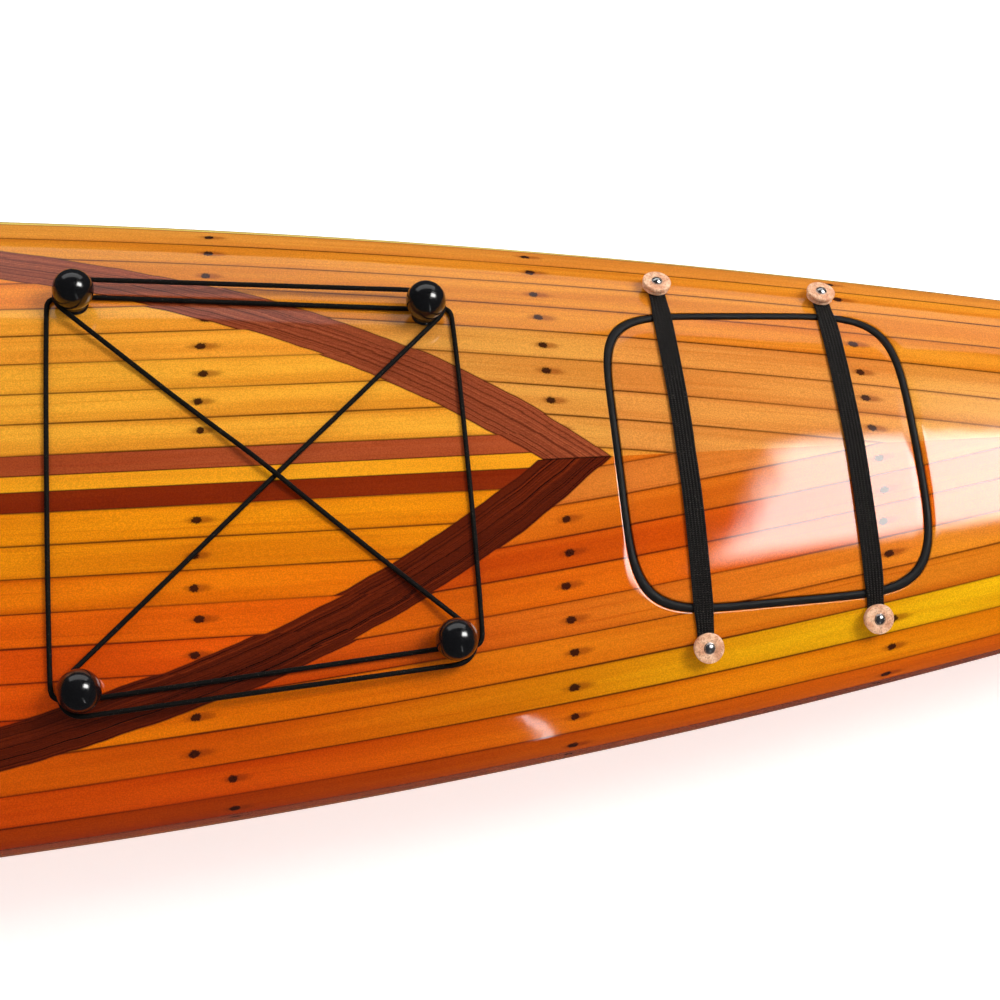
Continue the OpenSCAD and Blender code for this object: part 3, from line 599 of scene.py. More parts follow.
def cedar(name, tint=(1, 1, 1, 1), hull=False):
    p = Paint(name)
    along, signed, half = p.split(p.attribute("lay"))
    port = p.math("GREATER_THAN", signed, 0.0)
    centre = p.absolute(signed)
    edge = p.sub(half, centre)
    strip = p.div(edge, STRIP_W)
    seed_side = p.mul(port, 40.0)
    if hull:
        index = p.floor(strip)
        colour = p.ramp(p.div(p.add(index, 0.5), 14.0), HULL_TONES)
        inside = 0.0
        band = None
    else:
        outer, inner, cosine = p.split(p.attribute("inlay"))
        y = p.absolute(p.split(p.place())[1])
        fray = p.mul(p.sub(p.noise(p.vector(p.mul(along, 26.0), seed_side, 0.0), 1.0, 2.0), 0.5), 0.004)
        from_pins = p.div(p.sub(centre, PIN_EDGE), STRIP_W)
        seed_out = p.add(p.floor(strip), seed_side)
        seed_in = p.add(p.floor(from_pins), p.add(seed_side, 0.5))
        notch_out = p.scatter(seed_out)
        notch_in = p.scatter(seed_in)
        past_outer = p.add(p.mul(p.sub(y, outer), cosine), p.add(fray, p.mul(p.sub(notch_out, 0.5), 0.0035)))
        past_inner = p.add(p.mul(p.sub(y, inner), cosine), p.add(fray, p.mul(p.sub(notch_in, 0.5), 0.0045)))
        inside = p.math("LESS_THAN", past_inner, 0.0)
        strip = p.mix_value(inside, strip, from_pins)
        index = p.floor(strip)
        band = (past_outer, past_inner, y, cosine)
        # Starboard outer strips go from the darker aft tones to the lighter fore ones (painted shade aft);
        # the port tables against the starboard ones add painted light to port and painted shade to starboard
        fore = p.step(along, 0.75, 1.45)
        pick_out = p.div(p.add(index, 0.5), 12.0)
        pick_in = p.div(p.add(index, 0.5), 7.0)
        stbd_out = p.mix(fore, p.ramp(pick_out, STBD_OUT_AFT), p.ramp(pick_out, STBD_OUT_FORE))
        out = p.mix(port, stbd_out, p.ramp(pick_out, PORT_OUT))
        within = p.mix(port, p.ramp(pick_in, STBD_IN), p.ramp(pick_in, PORT_IN))
        colour = p.mix(inside, out, within)
        seed_side = p.add(seed_side, p.mul(inside, 17.0))
    fraction = p.math("FRACT", strip)
    seed = p.add(p.mul(index, 3.7), seed_side)
    drift, lines, pores = grain(p, along, p.mul(strip, STRIP_W), seed)
    colour = figured(p, colour, drift, lines, pores)
    gap = p.mul(p.least(fraction, p.sub(1.0, fraction)), STRIP_W)
    fade = p.step(p.noise(p.vector(p.mul(along, 3.0), seed, 0.0), 1.0, 2.0), 0.32, 0.62, 0.35, 1.0)
    joint = p.mul(p.step(gap, p.mix_value(fade, 0.0009, 0.0014), 0.00035), fade)
    shadow = p.mul(p.step(gap, 0.0042, 0.0003), 0.28)
    colour = p.mix(shadow, colour, p.times(colour, (0.6, 0.36, 0.2, 1)))
    colour = p.mix(p.mul(joint, 0.88), colour, DARK_JOINT)
    lean = p.mul(p.mul(p.math("LESS_THAN", p.absolute(p.sub(along, 0.79)), 0.12),
                       p.math("GREATER_THAN", signed, -0.235)), p.sub(p.mul(signed, 0.0575), 0.0165))
    core, halo = pegs(p, p.sub(along, lean), fraction, seed)
    colour = p.mix(halo, colour, rgb(120, 42, 8))
    colour = p.mix(p.mul(core, 0.93), colour, rgb(34, 12, 6))
    height = p.sub(p.mul(lines, 0.3), p.mul(joint, 1.0))
    if band:
        past_outer, past_inner, y, cosine = band
        # The two mahogany pinstripes beside the golden centre strip
        plain = p.step(centre, PIN_OUT + PIN_BLUR, PIN_OUT - PIN_BLUR)
        pin = p.mul(p.step(centre, PIN_IN - PIN_BLUR, PIN_IN + PIN_BLUR), plain)
        # Port pinstripe lighter than starboard: painted light on the port side, painted shade on the
        # starboard side, over the mahogany's own tone
        pin_tone = p.mix(port, rgb(126, 38, 6), rgb(166, 76, 38))
        pin_tone = figured(p, pin_tone, drift, lines, pores, 0.9)
        gold = figured(p, rgb(238, 158, 26), drift, lines, pores, 0.5)
        to_in, to_out = (p.absolute(p.sub(centre, line)) for line in (PIN_IN, PIN_OUT))
        line = p.least(to_in, to_out)
        middle = p.mix(pin, gold, pin_tone)
        middle = p.mix(p.mul(p.step(line, 0.0009, 0.0003), 0.8), middle, DARK_JOINT)
        colour = p.mix(p.mul(plain, inside), colour, middle)
        # The laminated V inlay
        width = p.sub(past_inner, past_outer)
        across = p.div(past_inner, width)
        across_laminae = p.mul(across, float(LAMINAE))
        layer = p.add(p.floor(across_laminae), p.mul(port, 9.0))
        lamina_gap = p.absolute(p.sub(p.math("FRACT", p.add(across_laminae, 0.5)), 0.5))
        streak = p.noise(p.vector(p.mul(along, 3.0), p.mul(across, 26.0), port), 1.0, 4.0, 0.65)
        tone = p.scatter(layer)
        # Port walnut tones lighter than starboard ones: painted light to port, painted shade to starboard
        walnut = p.mix(port, *V_PLAIN)
        walnut = p.mix(p.mul(tone, 0.45), walnut, p.mix(port, *V_DEEP))
        walnut = p.mix(p.mul(p.step(streak, 0.50, 0.64), 0.8), walnut, p.mix(port, *V_DARK))
        walnut = p.mix(p.mul(p.step(streak, 0.47, 0.32), 0.55), walnut, p.mix(port, *V_PALE))
        walnut = p.mix(p.mul(p.step(pore_lines(p, along, y, layer), 0.5, 0.7), 0.3), walnut, DARK_SEAM)
        walnut = p.mix(p.mul(p.step(lamina_gap, 0.09, 0.03), 0.5), walnut, rgb(36, 9, 3))
        mitre = p.step(y, 0.0011, 0.0004)
        in_band = p.mul(p.math("LESS_THAN", past_outer, 0.0), p.sub(1.0, inside))
        walnut = p.mix(p.mul(mitre, 0.8), walnut, DARK_SEAM)
        colour = p.mix(in_band, colour, walnut)
        rim = p.least(p.absolute(past_outer), p.absolute(past_inner))
        near = p.mul(p.math("LESS_THAN", past_outer, 0.002), p.step(rim, 0.0010, 0.0003))
        colour = p.mix(p.mul(near, 0.6), colour, DARK_JOINT)
    # Fine speckle that darkens and lightens the wood's colour; its lightened points are painted glints of the
    # varnish
    speck_and_glint = p.step(p.fine(850.0, 2.0, 0.6), 0.35, 0.68, 0.86, 1.14)
    colour = p.times(colour, p.vector(speck_and_glint, speck_and_glint, speck_and_glint))
    colour = p.times(colour, tint)
    return varnish(p, colour, height)


# ---- other materials
def timber(name, light, dark, axis="x", rough=0.5, coat=1.0, fine=1.0):
    """Plain wood with its grain along one axis."""
    p = Paint(name)
    x, y, z = p.split(p.place())
    lengths = {"x": (x, y, z), "y": (y, x, z), "z": (z, x, y)}[axis]
    place = p.vector(*(p.mul(length, scale * fine) for length, scale in zip(lengths, (5.0, 150.0, 150.0))))
    broad = p.noise(place, 0.25, 3.0, 0.6, 0.5)
    lines = p.noise(place, 1.0, 4.0, 0.65, 0.6)
    pores = p.noise(place, 5.0, 2.0, 0.5)
    colour = p.mix(p.step(broad, 0.3, 0.7), light, dark)
    colour = p.mix(p.mul(p.step(lines, 0.5, 0.75), 0.55), colour, p.times(dark, (0.6, 0.5, 0.45, 1)))
    colour = p.mix(p.mul(p.step(pores, 0.55, 0.75), 0.3), colour, p.times(dark, (0.45, 0.38, 0.35, 1)))
    base = p.bump(lines, 0.0003, 0.4)
    coat_wave = p.bump(p.fine(40.0, 2.0), 0.0006, 0.3)
    return p.finish(Base_Color=colour, Roughness=rough, Specular_IOR_Level=0.3, Normal=base,
                    Coat_Weight=coat, Coat_Roughness=0.06, Coat_Normal=coat_wave)


def rubber_skin(name, tone=0.006):
    p = Paint(name)
    fine = p.fine(900.0, 3.0, 0.6)
    wide = p.fine(60.0, 3.0, 0.6)
    colour = p.mix(wide, (tone, tone, tone * 1.02, 1), (tone * 2.2, tone * 2.1, tone * 2.2, 1))
    rough = p.step(wide, 0.3, 0.7, 0.42, 0.60)
    return p.finish(Base_Color=colour, Roughness=rough, Specular_IOR_Level=0.16,
                    Normal=p.bump(fine, 0.0003, 0.7))


def webbing():
    """Ribbed elastic: rows of stitches across the ribs, with dusty flecks; its colour is lighter on the
    raised stitches (painted light) and darker in the valleys between the ribs (painted shade).
    """
    p = Paint("elastic_webbing")
    x, y = p.split(p.place())[:2]
    rib = p.sine(p.mul(x, 2 * math.pi / 0.00283))
    stitch = p.sine(p.add(p.mul(y, 2 * math.pi / 0.0019), p.mul(rib, 0.9)))
    fuzz = p.fine(1400.0, 3.0, 0.7)
    flecks = p.step(p.fine(800.0, 1.0, 0.4), 0.66, 0.76)
    # Colour lighter on the raised stitches: painted light
    colour = p.mix(p.step(stitch, -0.2, 0.9), (0.0025, 0.0022, 0.002, 1), (0.024, 0.020, 0.018, 1))
    # Colour darker in the valleys between the ribs: painted shade
    colour = p.mix(p.mul(p.step(rib, 0.1, -0.9), 0.85), colour, (0.0012, 0.001, 0.001, 1))
    colour = p.mix(p.mul(flecks, 0.5), colour, (0.12, 0.10, 0.085, 1))
    height = p.add(p.mul(stitch, 0.5), p.mul(fuzz, 0.5))
    return p.finish(Base_Color=colour, Roughness=0.75, Specular_IOR_Level=0.12,
                    Normal=p.bump(height, 0.0004, 0.9), Sheen_Weight=0.04, Sheen_Roughness=0.5)


def cord_cover():
    p = Paint("bungee_cover")
    weave = p.fine(1300.0, 2.0, 0.6)
    flecks = p.step(p.fine(700.0, 1.0, 0.4), 0.64, 0.76)
    colour = p.mix(weave, (0.0015, 0.0012, 0.001, 1), (0.008, 0.007, 0.006, 1))
    colour = p.mix(p.mul(flecks, 0.4), colour, (0.07, 0.055, 0.045, 1))
    return p.finish(Base_Color=colour, Roughness=0.6, Specular_IOR_Level=0.10,
                    Normal=p.bump(weave, 0.0004, 0.8))


def gloss_black():
    """Glossy black paint over turned wood, with faint orange peel and dust."""
    p = Paint("black_gloss_paint")
    peel = p.fine(260.0, 2.0, 0.5)
    dust = p.step(p.fine(1500.0, 1.0, 0.4), 0.68, 0.78)
    colour = p.mix(p.mul(dust, 0.25), (0.003, 0.003, 0.0035, 1), (0.06, 0.055, 0.05, 1))
    rough = p.step(peel, 0.3, 0.7, 0.14, 0.24)
    return p.finish(Base_Color=colour, Roughness=rough, Specular_IOR_Level=0.5,
                    Normal=p.bump(peel, 0.0002, 0.35), Coat_Weight=0.6, Coat_Roughness=0.08)


def metal(name, colour, rough, dull=0.7):
    p = Paint(name)
    x, y, z = p.split(p.place())
    brush = p.noise(p.vector(p.mul(x, 40.0), p.mul(y, 900.0), p.mul(z, 900.0)), 1.0, 3.0, 0.6)
    smudge = p.fine(90.0, 3.0, 0.6)
    tone = p.mix(p.mul(smudge, 0.6), colour, tuple(c * dull for c in colour[:3]) + (1,))
    spread = p.step(smudge, 0.3, 0.75, rough, rough + 0.14)
    return p.finish(Base_Color=tone, Metallic=1.0, Roughness=spread, Normal=p.bump(brush, 0.0001, 0.3))


def moulded():
    p = Paint("moulded_plastic")
    z = p.split(p.place())[2]
    ribs = p.sine(p.mul(z, 2 * math.pi / 0.008))
    fine = p.fine(700.0, 3.0, 0.6)
    wear = p.fine(30.0, 3.0, 0.6)
    colour = p.mix(wear, (0.013, 0.013, 0.014, 1), (0.030, 0.030, 0.031, 1))
    height = p.add(p.mul(p.step(ribs, 0.1, 0.6), 1.0), p.mul(fine, 0.15))
    return p.finish(Base_Color=colour, Roughness=0.5, Normal=p.bump(height, 0.0006, 0.6))


def cloth_cover():
    """Coarse black polyester: a plain weave of two thread directions."""
    p = Paint("seat_cloth")
    x, y, z = p.split(p.place())
    warp = p.sine(p.mul(p.add(x, p.mul(z, 0.6)), 2 * math.pi / 0.0016))
    weft = p.sine(p.mul(y, 2 * math.pi / 0.0016))
    cross = p.mul(warp, weft)
    fuzz = p.fine(1200.0, 3.0, 0.7)
    wear = p.fine(18.0, 3.0, 0.6)
    colour = p.mix(p.step(cross, -0.6, 0.7), (0.010, 0.011, 0.013, 1), (0.040, 0.042, 0.046, 1))
    colour = p.mix(p.mul(p.step(wear, 0.5, 0.8), 0.4), colour, (0.06, 0.062, 0.066, 1))
    height = p.add(cross, p.mul(fuzz, 0.5))
    return p.finish(Base_Color=colour, Roughness=0.88, Normal=p.bump(height, 0.0004, 0.7),
                    Sheen_Weight=0.3, Sheen_Roughness=0.4)


def varnished_disc():
    """Pale end-grain wood of the strap discs."""
    p = Paint("pale_disc_wood")
    fleck = p.fine(700.0, 3.0, 0.6)
    blotch = p.fine(160.0, 3.0, 0.6)
    colour = p.mix(p.step(blotch, 0.35, 0.65), rgb(240, 196, 160), rgb(214, 152, 114))
    colour = p.mix(p.mul(p.step(fleck, 0.46, 0.70), 0.7), colour, rgb(146, 84, 58))
    return p.finish(Base_Color=colour, Roughness=0.5, Specular_IOR_Level=0.35,
                    Normal=p.bump(fleck, 0.0003, 0.6), Coat_Weight=0.35, Coat_Roughness=0.15)


MAT = {
    "deck": cedar("cedar_deck_strips"),
    "cover": cedar("cedar_cover_strips", tint=(1.0, 0.90, 1.0, 1)),
    "hull": cedar("cedar_hull_strips", hull=True),
    "walnut": timber("walnut_solid", rgb(112, 48, 20), rgb(66, 24, 9)),
    "mahogany": timber("mahogany_solid", rgb(158, 76, 34), rgb(112, 44, 16)),
    "plywood": timber("birch_plywood", rgb(214, 168, 112), rgb(186, 132, 78), axis="y", coat=0.5),
    "toggle": timber("toggle_hardwood", rgb(150, 74, 32), rgb(104, 42, 16), axis="y", fine=2.0),
    "disc": varnished_disc(),
    "rubber": rubber_skin("gasket_rubber"),
    "elastic": webbing(),
    "cord": cord_cover(),
    "gloss": gloss_black(),
    "plastic": moulded(),
    "fabric": cloth_cover(),
    "steel": metal("stainless_steel", (0.62, 0.62, 0.63, 1), 0.18),
    "alloy": metal("anodised_alloy", (0.55, 0.56, 0.58, 1), 0.30),
    "brass": metal("brass_eyelet", (0.78, 0.58, 0.26, 1), 0.20),
}

# ---- outlines of the openings
def cockpit_outline(off, steps=240):
    a = (np.arange(steps) + 0.5) * 2 * np.pi / steps
    x = -0.040 + (0.420 + off) * signed_pow(np.cos(a), 2 / 2.3)
    y = (0.212 + off) * signed_pow(np.sin(a), 2 / 2.3) * (1 - 0.1 * np.cos(a))
    return even(np.stack([x, y], 1), steps)


def even(outline, steps):
    """The same closed outline with evenly spaced points."""
    flat = np.column_stack([outline, np.zeros(len(outline))])
    length = np.linalg.norm(np.diff(np.vstack([flat, flat[:1]]), axis=0), axis=1).sum()
    return resample(flat, length / steps, closed=True)[:, :2]


HATCH_MID = {1: 1.2705, -1: -1.080}
HATCH_HALF = 0.1385


def hatch_outline(end, off, steps=240):
    a = np.arange(2000) * 2 * np.pi / 2000
    along = (HATCH_HALF + off) * signed_pow(np.cos(a), 2 / 5.5)
    width = HATCH_HALF + off - 0.032 * along
    y = width * signed_pow(np.sin(a), 2 / 5.5)
    return even(np.stack([HATCH_MID[end] + end * along, y], 1), steps)


# ---- planked shells
EDGE_W, EDGE_DROP = 0.008, 0.0007


def roll_off(inward):
    """How far a sanded plank edge has dropped, a given way in from the edge."""
    u = max(0.0, 1 - inward / EDGE_W)
    return EDGE_DROP * u ** 2 + 0.0007 * max(0.0, 1 - inward / 0.0009) ** 2


XS = np.linspace(-SHELL_END, SHELL_END, 262)
deck_angles = np.linspace(-np.pi / 2, np.pi / 2, 81)
deck = skin("deck_strips", [
    np.vstack([deck_ring(x, deck_angles), deck_ring(x, deck_angles[::-1], PLANK_T)]) for x in XS])
cut(deck, [
    prism("cockpit_cutter", cockpit_outline(GLUE), 0.20, 0.40),
    prism("bow_hatch_cutter", hatch_outline(1, EDGE_W), 0.20, 0.40),
    prism("stern_hatch_cutter", hatch_outline(-1, EDGE_W), 0.20, 0.40)])
lay_strips(deck)
settle(deck, "hull", MAT["deck"], ["deck_shell"])

hull_angles = np.linspace(0.0004, np.pi - 0.0004, 77)
hull = skin("hull_strips", [
    np.vstack([hull_ring(x, hull_angles, 0, GLUE), hull_ring(x, hull_angles[::-1], PLANK_T, GLUE)])
    for x in XS])
lay_strips(hull, "hull")
settle(hull, "hull", MAT["hull"], [
    "hull_port_side", "hull_starboard_side", "bilges_stern", "bilges_mid", "bilges_fore", "bilges_bow",
    "bottom_stern", "bottom_mid", "bottom_bow"])

# ---- end blocks
def end_block(name, end):
    xs = np.concatenate([np.linspace(SHELL_END + GLUE, 2.385, 20), np.linspace(2.3862, 2.3996, 12)]) * end
    top = np.linspace(np.pi / 2, -np.pi / 2, 49)
    under = np.linspace(0, np.pi, 41)[1:-1][::-1]
    block = loft(name + "_carved", [np.vstack([deck_ring(x, top), hull_ring(x, under)]) for x in xs])
    holes = []
    for x, z, r in ((2.300, 0.300, 0.00705), (2.352, 0.318, 0.0045)):
        a = np.arange(40) * 2 * np.pi / 40
        circle = np.stack([end * x + r * np.cos(a), 0 * a, z + r * np.sin(a)], 1)
        holes.append(loft(name + "_hole", [circle - [0, 0.04, 0], circle + [0, 0.04, 0]]))
    cut(block, holes)
    settle(block, "hull", MAT["walnut"], [name])


end_block("bow_block", 1)
end_block("stern_block", -1)


# ---- loops that follow an outline over the deck
def ring_piece(name, outline, section, sharp=38):
    """A closed loop over the deck: section is a list of (offset, height above the deck)."""
    columns = []
    for off, height in section:
        flat = outline(off)
        columns.append(np.column_stack([flat, deck_z(flat[:, 0], flat[:, 1]) + height]))
    return loft(name, list(np.stack(columns, 1)), closed=True, sharp=sharp)


def rounded_box(x0, x1, z0, z1, r, steps=5):
    points = []
    corners = (x1 - r, z1 - r, 0), (x0 + r, z1 - r, 90), (x0 + r, z0 + r, 180), (x1 - r, z0 + r, 270)
    for cx, cz, start in corners:
        for k in range(steps):
            a = math.radians(start + 90 * k / (steps - 1))
            points.append((cx + r * math.cos(a), cz + r * math.sin(a)))
    return points


riser = ring_piece("coaming_wall", cockpit_outline, rounded_box(-0.006, 0, -0.010, 0.020, 0.0006, 3))
settle(riser, "hull", MAT["mahogany"], ["coaming_riser"])
lip = ring_piece("coaming_rim", cockpit_outline, rounded_box(-0.006, 0.018, 0.0202, 0.0262, 0.0026), sharp=60)
settle(lip, "hull", MAT["walnut"], ["coaming_lip"])

GASKET_W, COVER_OFF = 0.0067, -0.00705


def hatch_edge(name, end):
    """The rounded-over edge of the deck round a hatch."""
    offs = (0, 0.0003, 0.0006, 0.0009, 0.0016, 0.0024, 0.0034, 0.0046, 0.006, 0.007, EDGE_W)
    section = [(off, 0.0) for off in offs] + [(EDGE_W, -PLANK_T), (0, -PLANK_T)]
    obj = ring_piece(name, lambda off: hatch_outline(end, off), section)
    count = len(section)
    for i, v in enumerate(obj.data.vertices):
        if i % count < len(offs):
            ahead, near = end * v.co.x - 1.33, -v.co.y - 0.05
            share = max(0.12, float(smooth(ahead / 0.06)), 0.75 * float(smooth(near / 0.06)))
            v.co.z -= share * roll_off(offs[i % count])
    lay_strips(obj)
    settle(obj, "hull", MAT["deck"])


def gasket(name, end):
    circle = [(-GASKET_W / 2 + 0.0032 * math.cos(a), 0.0010 - 0.0032 + 0.0032 * math.sin(a))
              for a in np.arange(14) * 2 * np.pi / 14]
    obj = ring_piece(name + "_cord", lambda off: hatch_outline(end, off), circle, sharp=80)
    settle(obj, "hull", MAT["rubber"], [name])


def hatch_cover(name, end, body):
    """The lifted-out piece of deck, with its edge eased."""
    steps = 240
    rim = hatch_outline(end, COVER_OFF, steps)
    mid = np.array([HATCH_MID[end], 0.0])
    shares = np.concatenate([
        np.linspace(0.04, 0.92, 23), np.linspace(0.935, 0.985, 9), [0.990, 0.994, 0.997, 0.999, 1.0]])
    rings = []
    for share in shares:
        flat = mid + share * (rim - mid)
        rings.append(np.column_stack([flat, deck_z(flat[:, 0], flat[:, 1]) - roll_off((1 - share) * 0.131)]))
    for share in shares[::-1]:
        flat = mid + share * (rim - mid)
        rings.append(np.column_stack([flat, deck_z(flat[:, 0], flat[:, 1], PLANK_T)]))
    centres = [[[mid[0], 0, deck_z(mid[0], 0.0, inset)]] for inset in (0.0, PLANK_T)]
    verts = np.vstack(rings + centres)
    count = len(rings)
    top, low = len(verts) - 2, len(verts) - 1
    faces = grid_faces(count, steps, wrap_m=True)
    faces += [(top, i, (i + 1) % steps) for i in range(steps)]
    faces += [(low, (count - 1) * steps + i, (count - 1) * steps + (i + 1) % steps) for i in range(steps)]
    obj = new_object(name + "_strips", verts, faces)
    lay_strips(obj)
    settle(obj, body, MAT["cover"], [name])


ENDS = (("bow", 1), ("stern", -1))
for tag, end in ENDS:
    hatch_edge(f"{tag}_hatch_edge_strips", end)
for tag, end in ENDS:
    gasket(f"{tag}_hatch_gasket", end)
for tag, end in ENDS:
    hatch_cover(f"{tag}_hatch_cover", end, f"{tag}_hatch")

# ---- straps, discs and screws
STRAP_H, STRAP_T, STRAP_W = 0.0011, 0.0024, 0.017
# Each strap's station, and how far its discs stand from the middle
STRAPS = {
    "bow": {"bow_strap_aft": (1.195, 0.168), "bow_strap_fore": (1.348, 0.152)},
    "stern": {"stern_strap_fore": (-1.005, 0.168), "stern_strap_aft": (-1.158, 0.160)}}


def strap(name, x, disc_y):
    """Ribbed elastic in two halves, one from the middle out to each disc; the halves are joined to no body.
    """
    reach = disc_y - 0.004
    for side, tag in ((1, "port"), (-1, "starboard")):
        rings = []
        for y in np.linspace(0, reach, 64):
            pinch = 1 - 0.14 * float(smooth((y - disc_y + 0.034) / 0.022))
            u = np.linspace(-0.5, 0.5, 37)
            ribs = np.abs(np.sin(np.pi * (u + 0.5) * 6)) ** 0.6
            wander = 0.0005 * math.sin(y * 37 + x * 11)
            base = float(deck_z(x, y)) + STRAP_H
            high = np.column_stack([x + wander + u * STRAP_W * pinch, np.full(37, side * y),
                                    base + STRAP_T - 0.0005 * (1 - ribs)])
            low = np.column_stack([x + wander + u[::-6] * STRAP_W * pinch, np.full(7, side * y),
                                   np.full(7, base)])
            rings.append(np.vstack([high, low]))
        half = loft(f"{name}_{tag}", rings, sharp=50)
        settle(half, None, MAT["elastic"], [name] if side > 0 else ())
        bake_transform(half)


for end, pair in STRAPS.items():
    for name, (station, disc_y) in pair.items():
        strap(name, station, disc_y)


def in_mm(profile):
    return [(r / 1000, z / 1000) for r, z in profile]


DISC_LOW = in_mm([(2.1, 0.2), (3.2, 0.2), (3.2, 4.0), (11.4, 4.0), (11.9, 4.25), (12.0, 4.7), (12.0, 6.3),
                  (11.8, 6.8), (11.3, 7.0), (8.5, 7.0), (8.5, 8.4), (2.1, 8.4)])
DISC_HIGH = in_mm([(2.1, 8.4), (12.2, 8.4), (12.8, 8.65), (13.0, 9.2), (13.0, 10.9), (12.8, 11.45),
                   (12.2, 11.8), (5.9, 11.7), (5.3, 11.35), (2.1, 11.3)])
SCREW = in_mm([(0, -14), (2.0, -14), (2.0, 11.3), (5.0, 11.35), (5.0, 11.75), (4.6, 11.85)]
              + [(4.94 * math.sin(a), 8.45 + 6 * math.cos(math.asin(4.94 * math.sin(a) / 6)))
                 for a in np.linspace(1.15, 0, 9)])
for end, pair in STRAPS.items():
    places = [(station, side * disc_y) for station, disc_y in pair.values() for side in (1, -1)]
    spots = [on_deck(*place) @ Matrix.Rotation(0.7 * k + place[0], 4, "Z") for k, place in enumerate(places)]
    pair_of_discs = [lathe(profile, closed=True) for profile in (DISC_LOW, DISC_HIGH)]
    discs = many(f"{end}_strap_disc_pairs", pair_of_discs, spots)
    settle(discs, "hull", MAT["disc"], [f"{end}_strap_discs"])
    heads = many(f"{end}_strap_dome_screws", [lathe(SCREW, 40)], spots)
    settle(heads, "hull", MAT["steel"], [f"{end}_strap_screws"])

# ---- ball knobs and bungee cords
KNOBS = {
    "port_aft": (0.680, 0.167), "port_fore": (0.980, 0.145),
    "stbd_fore": (0.980, -0.151), "stbd_aft": (0.680, -0.173)}
BALL_R, BALL_H = 17.5, 22.0
ball_from = math.asin(10.3 / BALL_R)
NECK = [(0, 0.2), (10.6, 0.2), (11.2, 0.7), (11.2, 1.7), (10.4, 2.4), (9.9, 3.6), (9.8, 5.6), (10.1, 7.2)]
KNOB = in_mm(NECK + [(BALL_R * math.sin(a), BALL_H - BALL_R * math.cos(a))
                     for a in np.linspace(ball_from, math.pi, 44)])
balls = many("turned_ball_knobs", [lathe(KNOB, 64)], [on_deck(*place) for place in KNOBS.values()], sharp=50)
settle(balls, "hull", MAT["gloss"], ["knob_balls", "knob_necks"])

CORD_R, LOW_H, HIGH_H, WRAP_R, WRAP_LEAN = 0.0022, 0.0026, 0.011, 0.0169, 0.0022
HOLE_OUT, TURN_OUT, TURN_R = 0.006, 0.024, 0.007


def wrap(place, start, stop):
    axis_y = place[1] + math.copysign(WRAP_LEAN, place[1])
    return [over_deck(place[0] + WRAP_R * math.cos(a), axis_y + WRAP_R * math.sin(a), HIGH_H)
            for a in np.radians(np.linspace(start, stop, 26))]


def taut(start, stop, steps=120, over=0.0):
    """Points between two ends of a taut run, pressed up where the crowned deck is in the way."""
    points = []
    for i in range(1, steps):
        p = start + (stop - start) * i / steps
        lift = over * math.exp(-(((i / steps - 0.5) * 9) ** 2))
        p[2] = max(p[2], float(deck_z(p[0], p[1])) + CORD_R + 0.0003 + lift)
        points.append(p)
    return points


def joined(runs, overs):
    """The closed route through the given runs, with a taut stretch from each to the next."""
    route = []
    for i, run in enumerate(runs):
        route += run + taut(run[-1], runs[(i + 1) % len(runs)][0], 120, overs[i])
    return route


def low_point(x, y):
    return over_deck(x, y, LOW_H)


def bend(place, fore, inboard):
    cx, cy = place[0] + fore * TURN_OUT, place[1] - inboard * HOLE_OUT
    return [low_point(cx - fore * TURN_R * (1 - math.sin(a)), cy + inboard * TURN_R * (1 - math.cos(a)))
            for a in np.radians(np.linspace(0, 90, 10))]


def through_neck(place, inboard):
    slope = float(deck_z(place[0] + 0.002, place[1]) - deck_z(place[0] - 0.002, place[1])) / 0.004
    mid = low_point(place[0], place[1] - inboard * HOLE_OUT)
    return [mid + s * 0.0115 * np.array([1, 0, slope]) for s in (-1, 0, 1)]


def side_run(aft, fore, inboard):
    start, stop = through_neck(aft, inboard), through_neck(fore, inboard)
    return bend(aft, -1, inboard)[::-1] + start + taut(start[-1], stop[0], 60) + stop + bend(fore, 1, inboard)


cross = joined([wrap(KNOBS["port_aft"], 222, 93), wrap(KNOBS["port_fore"], 87, -42),
                wrap(KNOBS["stbd_aft"], 138, 267), wrap(KNOBS["stbd_fore"], 273, 402)],
               [0, 0, 0, 2 * CORD_R + 0.0005])
square = joined([side_run(KNOBS["port_aft"], KNOBS["port_fore"], -1),
                 side_run(KNOBS["stbd_aft"], KNOBS["stbd_fore"], 1)[::-1]], [0, 0])
for name, route in (("bungee_cross", cross), ("bungee_square", square)):
    smooth_route = resample(soften(resample(route, 0.0015, True), 12, True), 0.0011, True)
    cord = braid(name + "_braided", smooth_route, CORD_R, closed=True)
    settle(cord, "hull", MAT["cord"], [name])

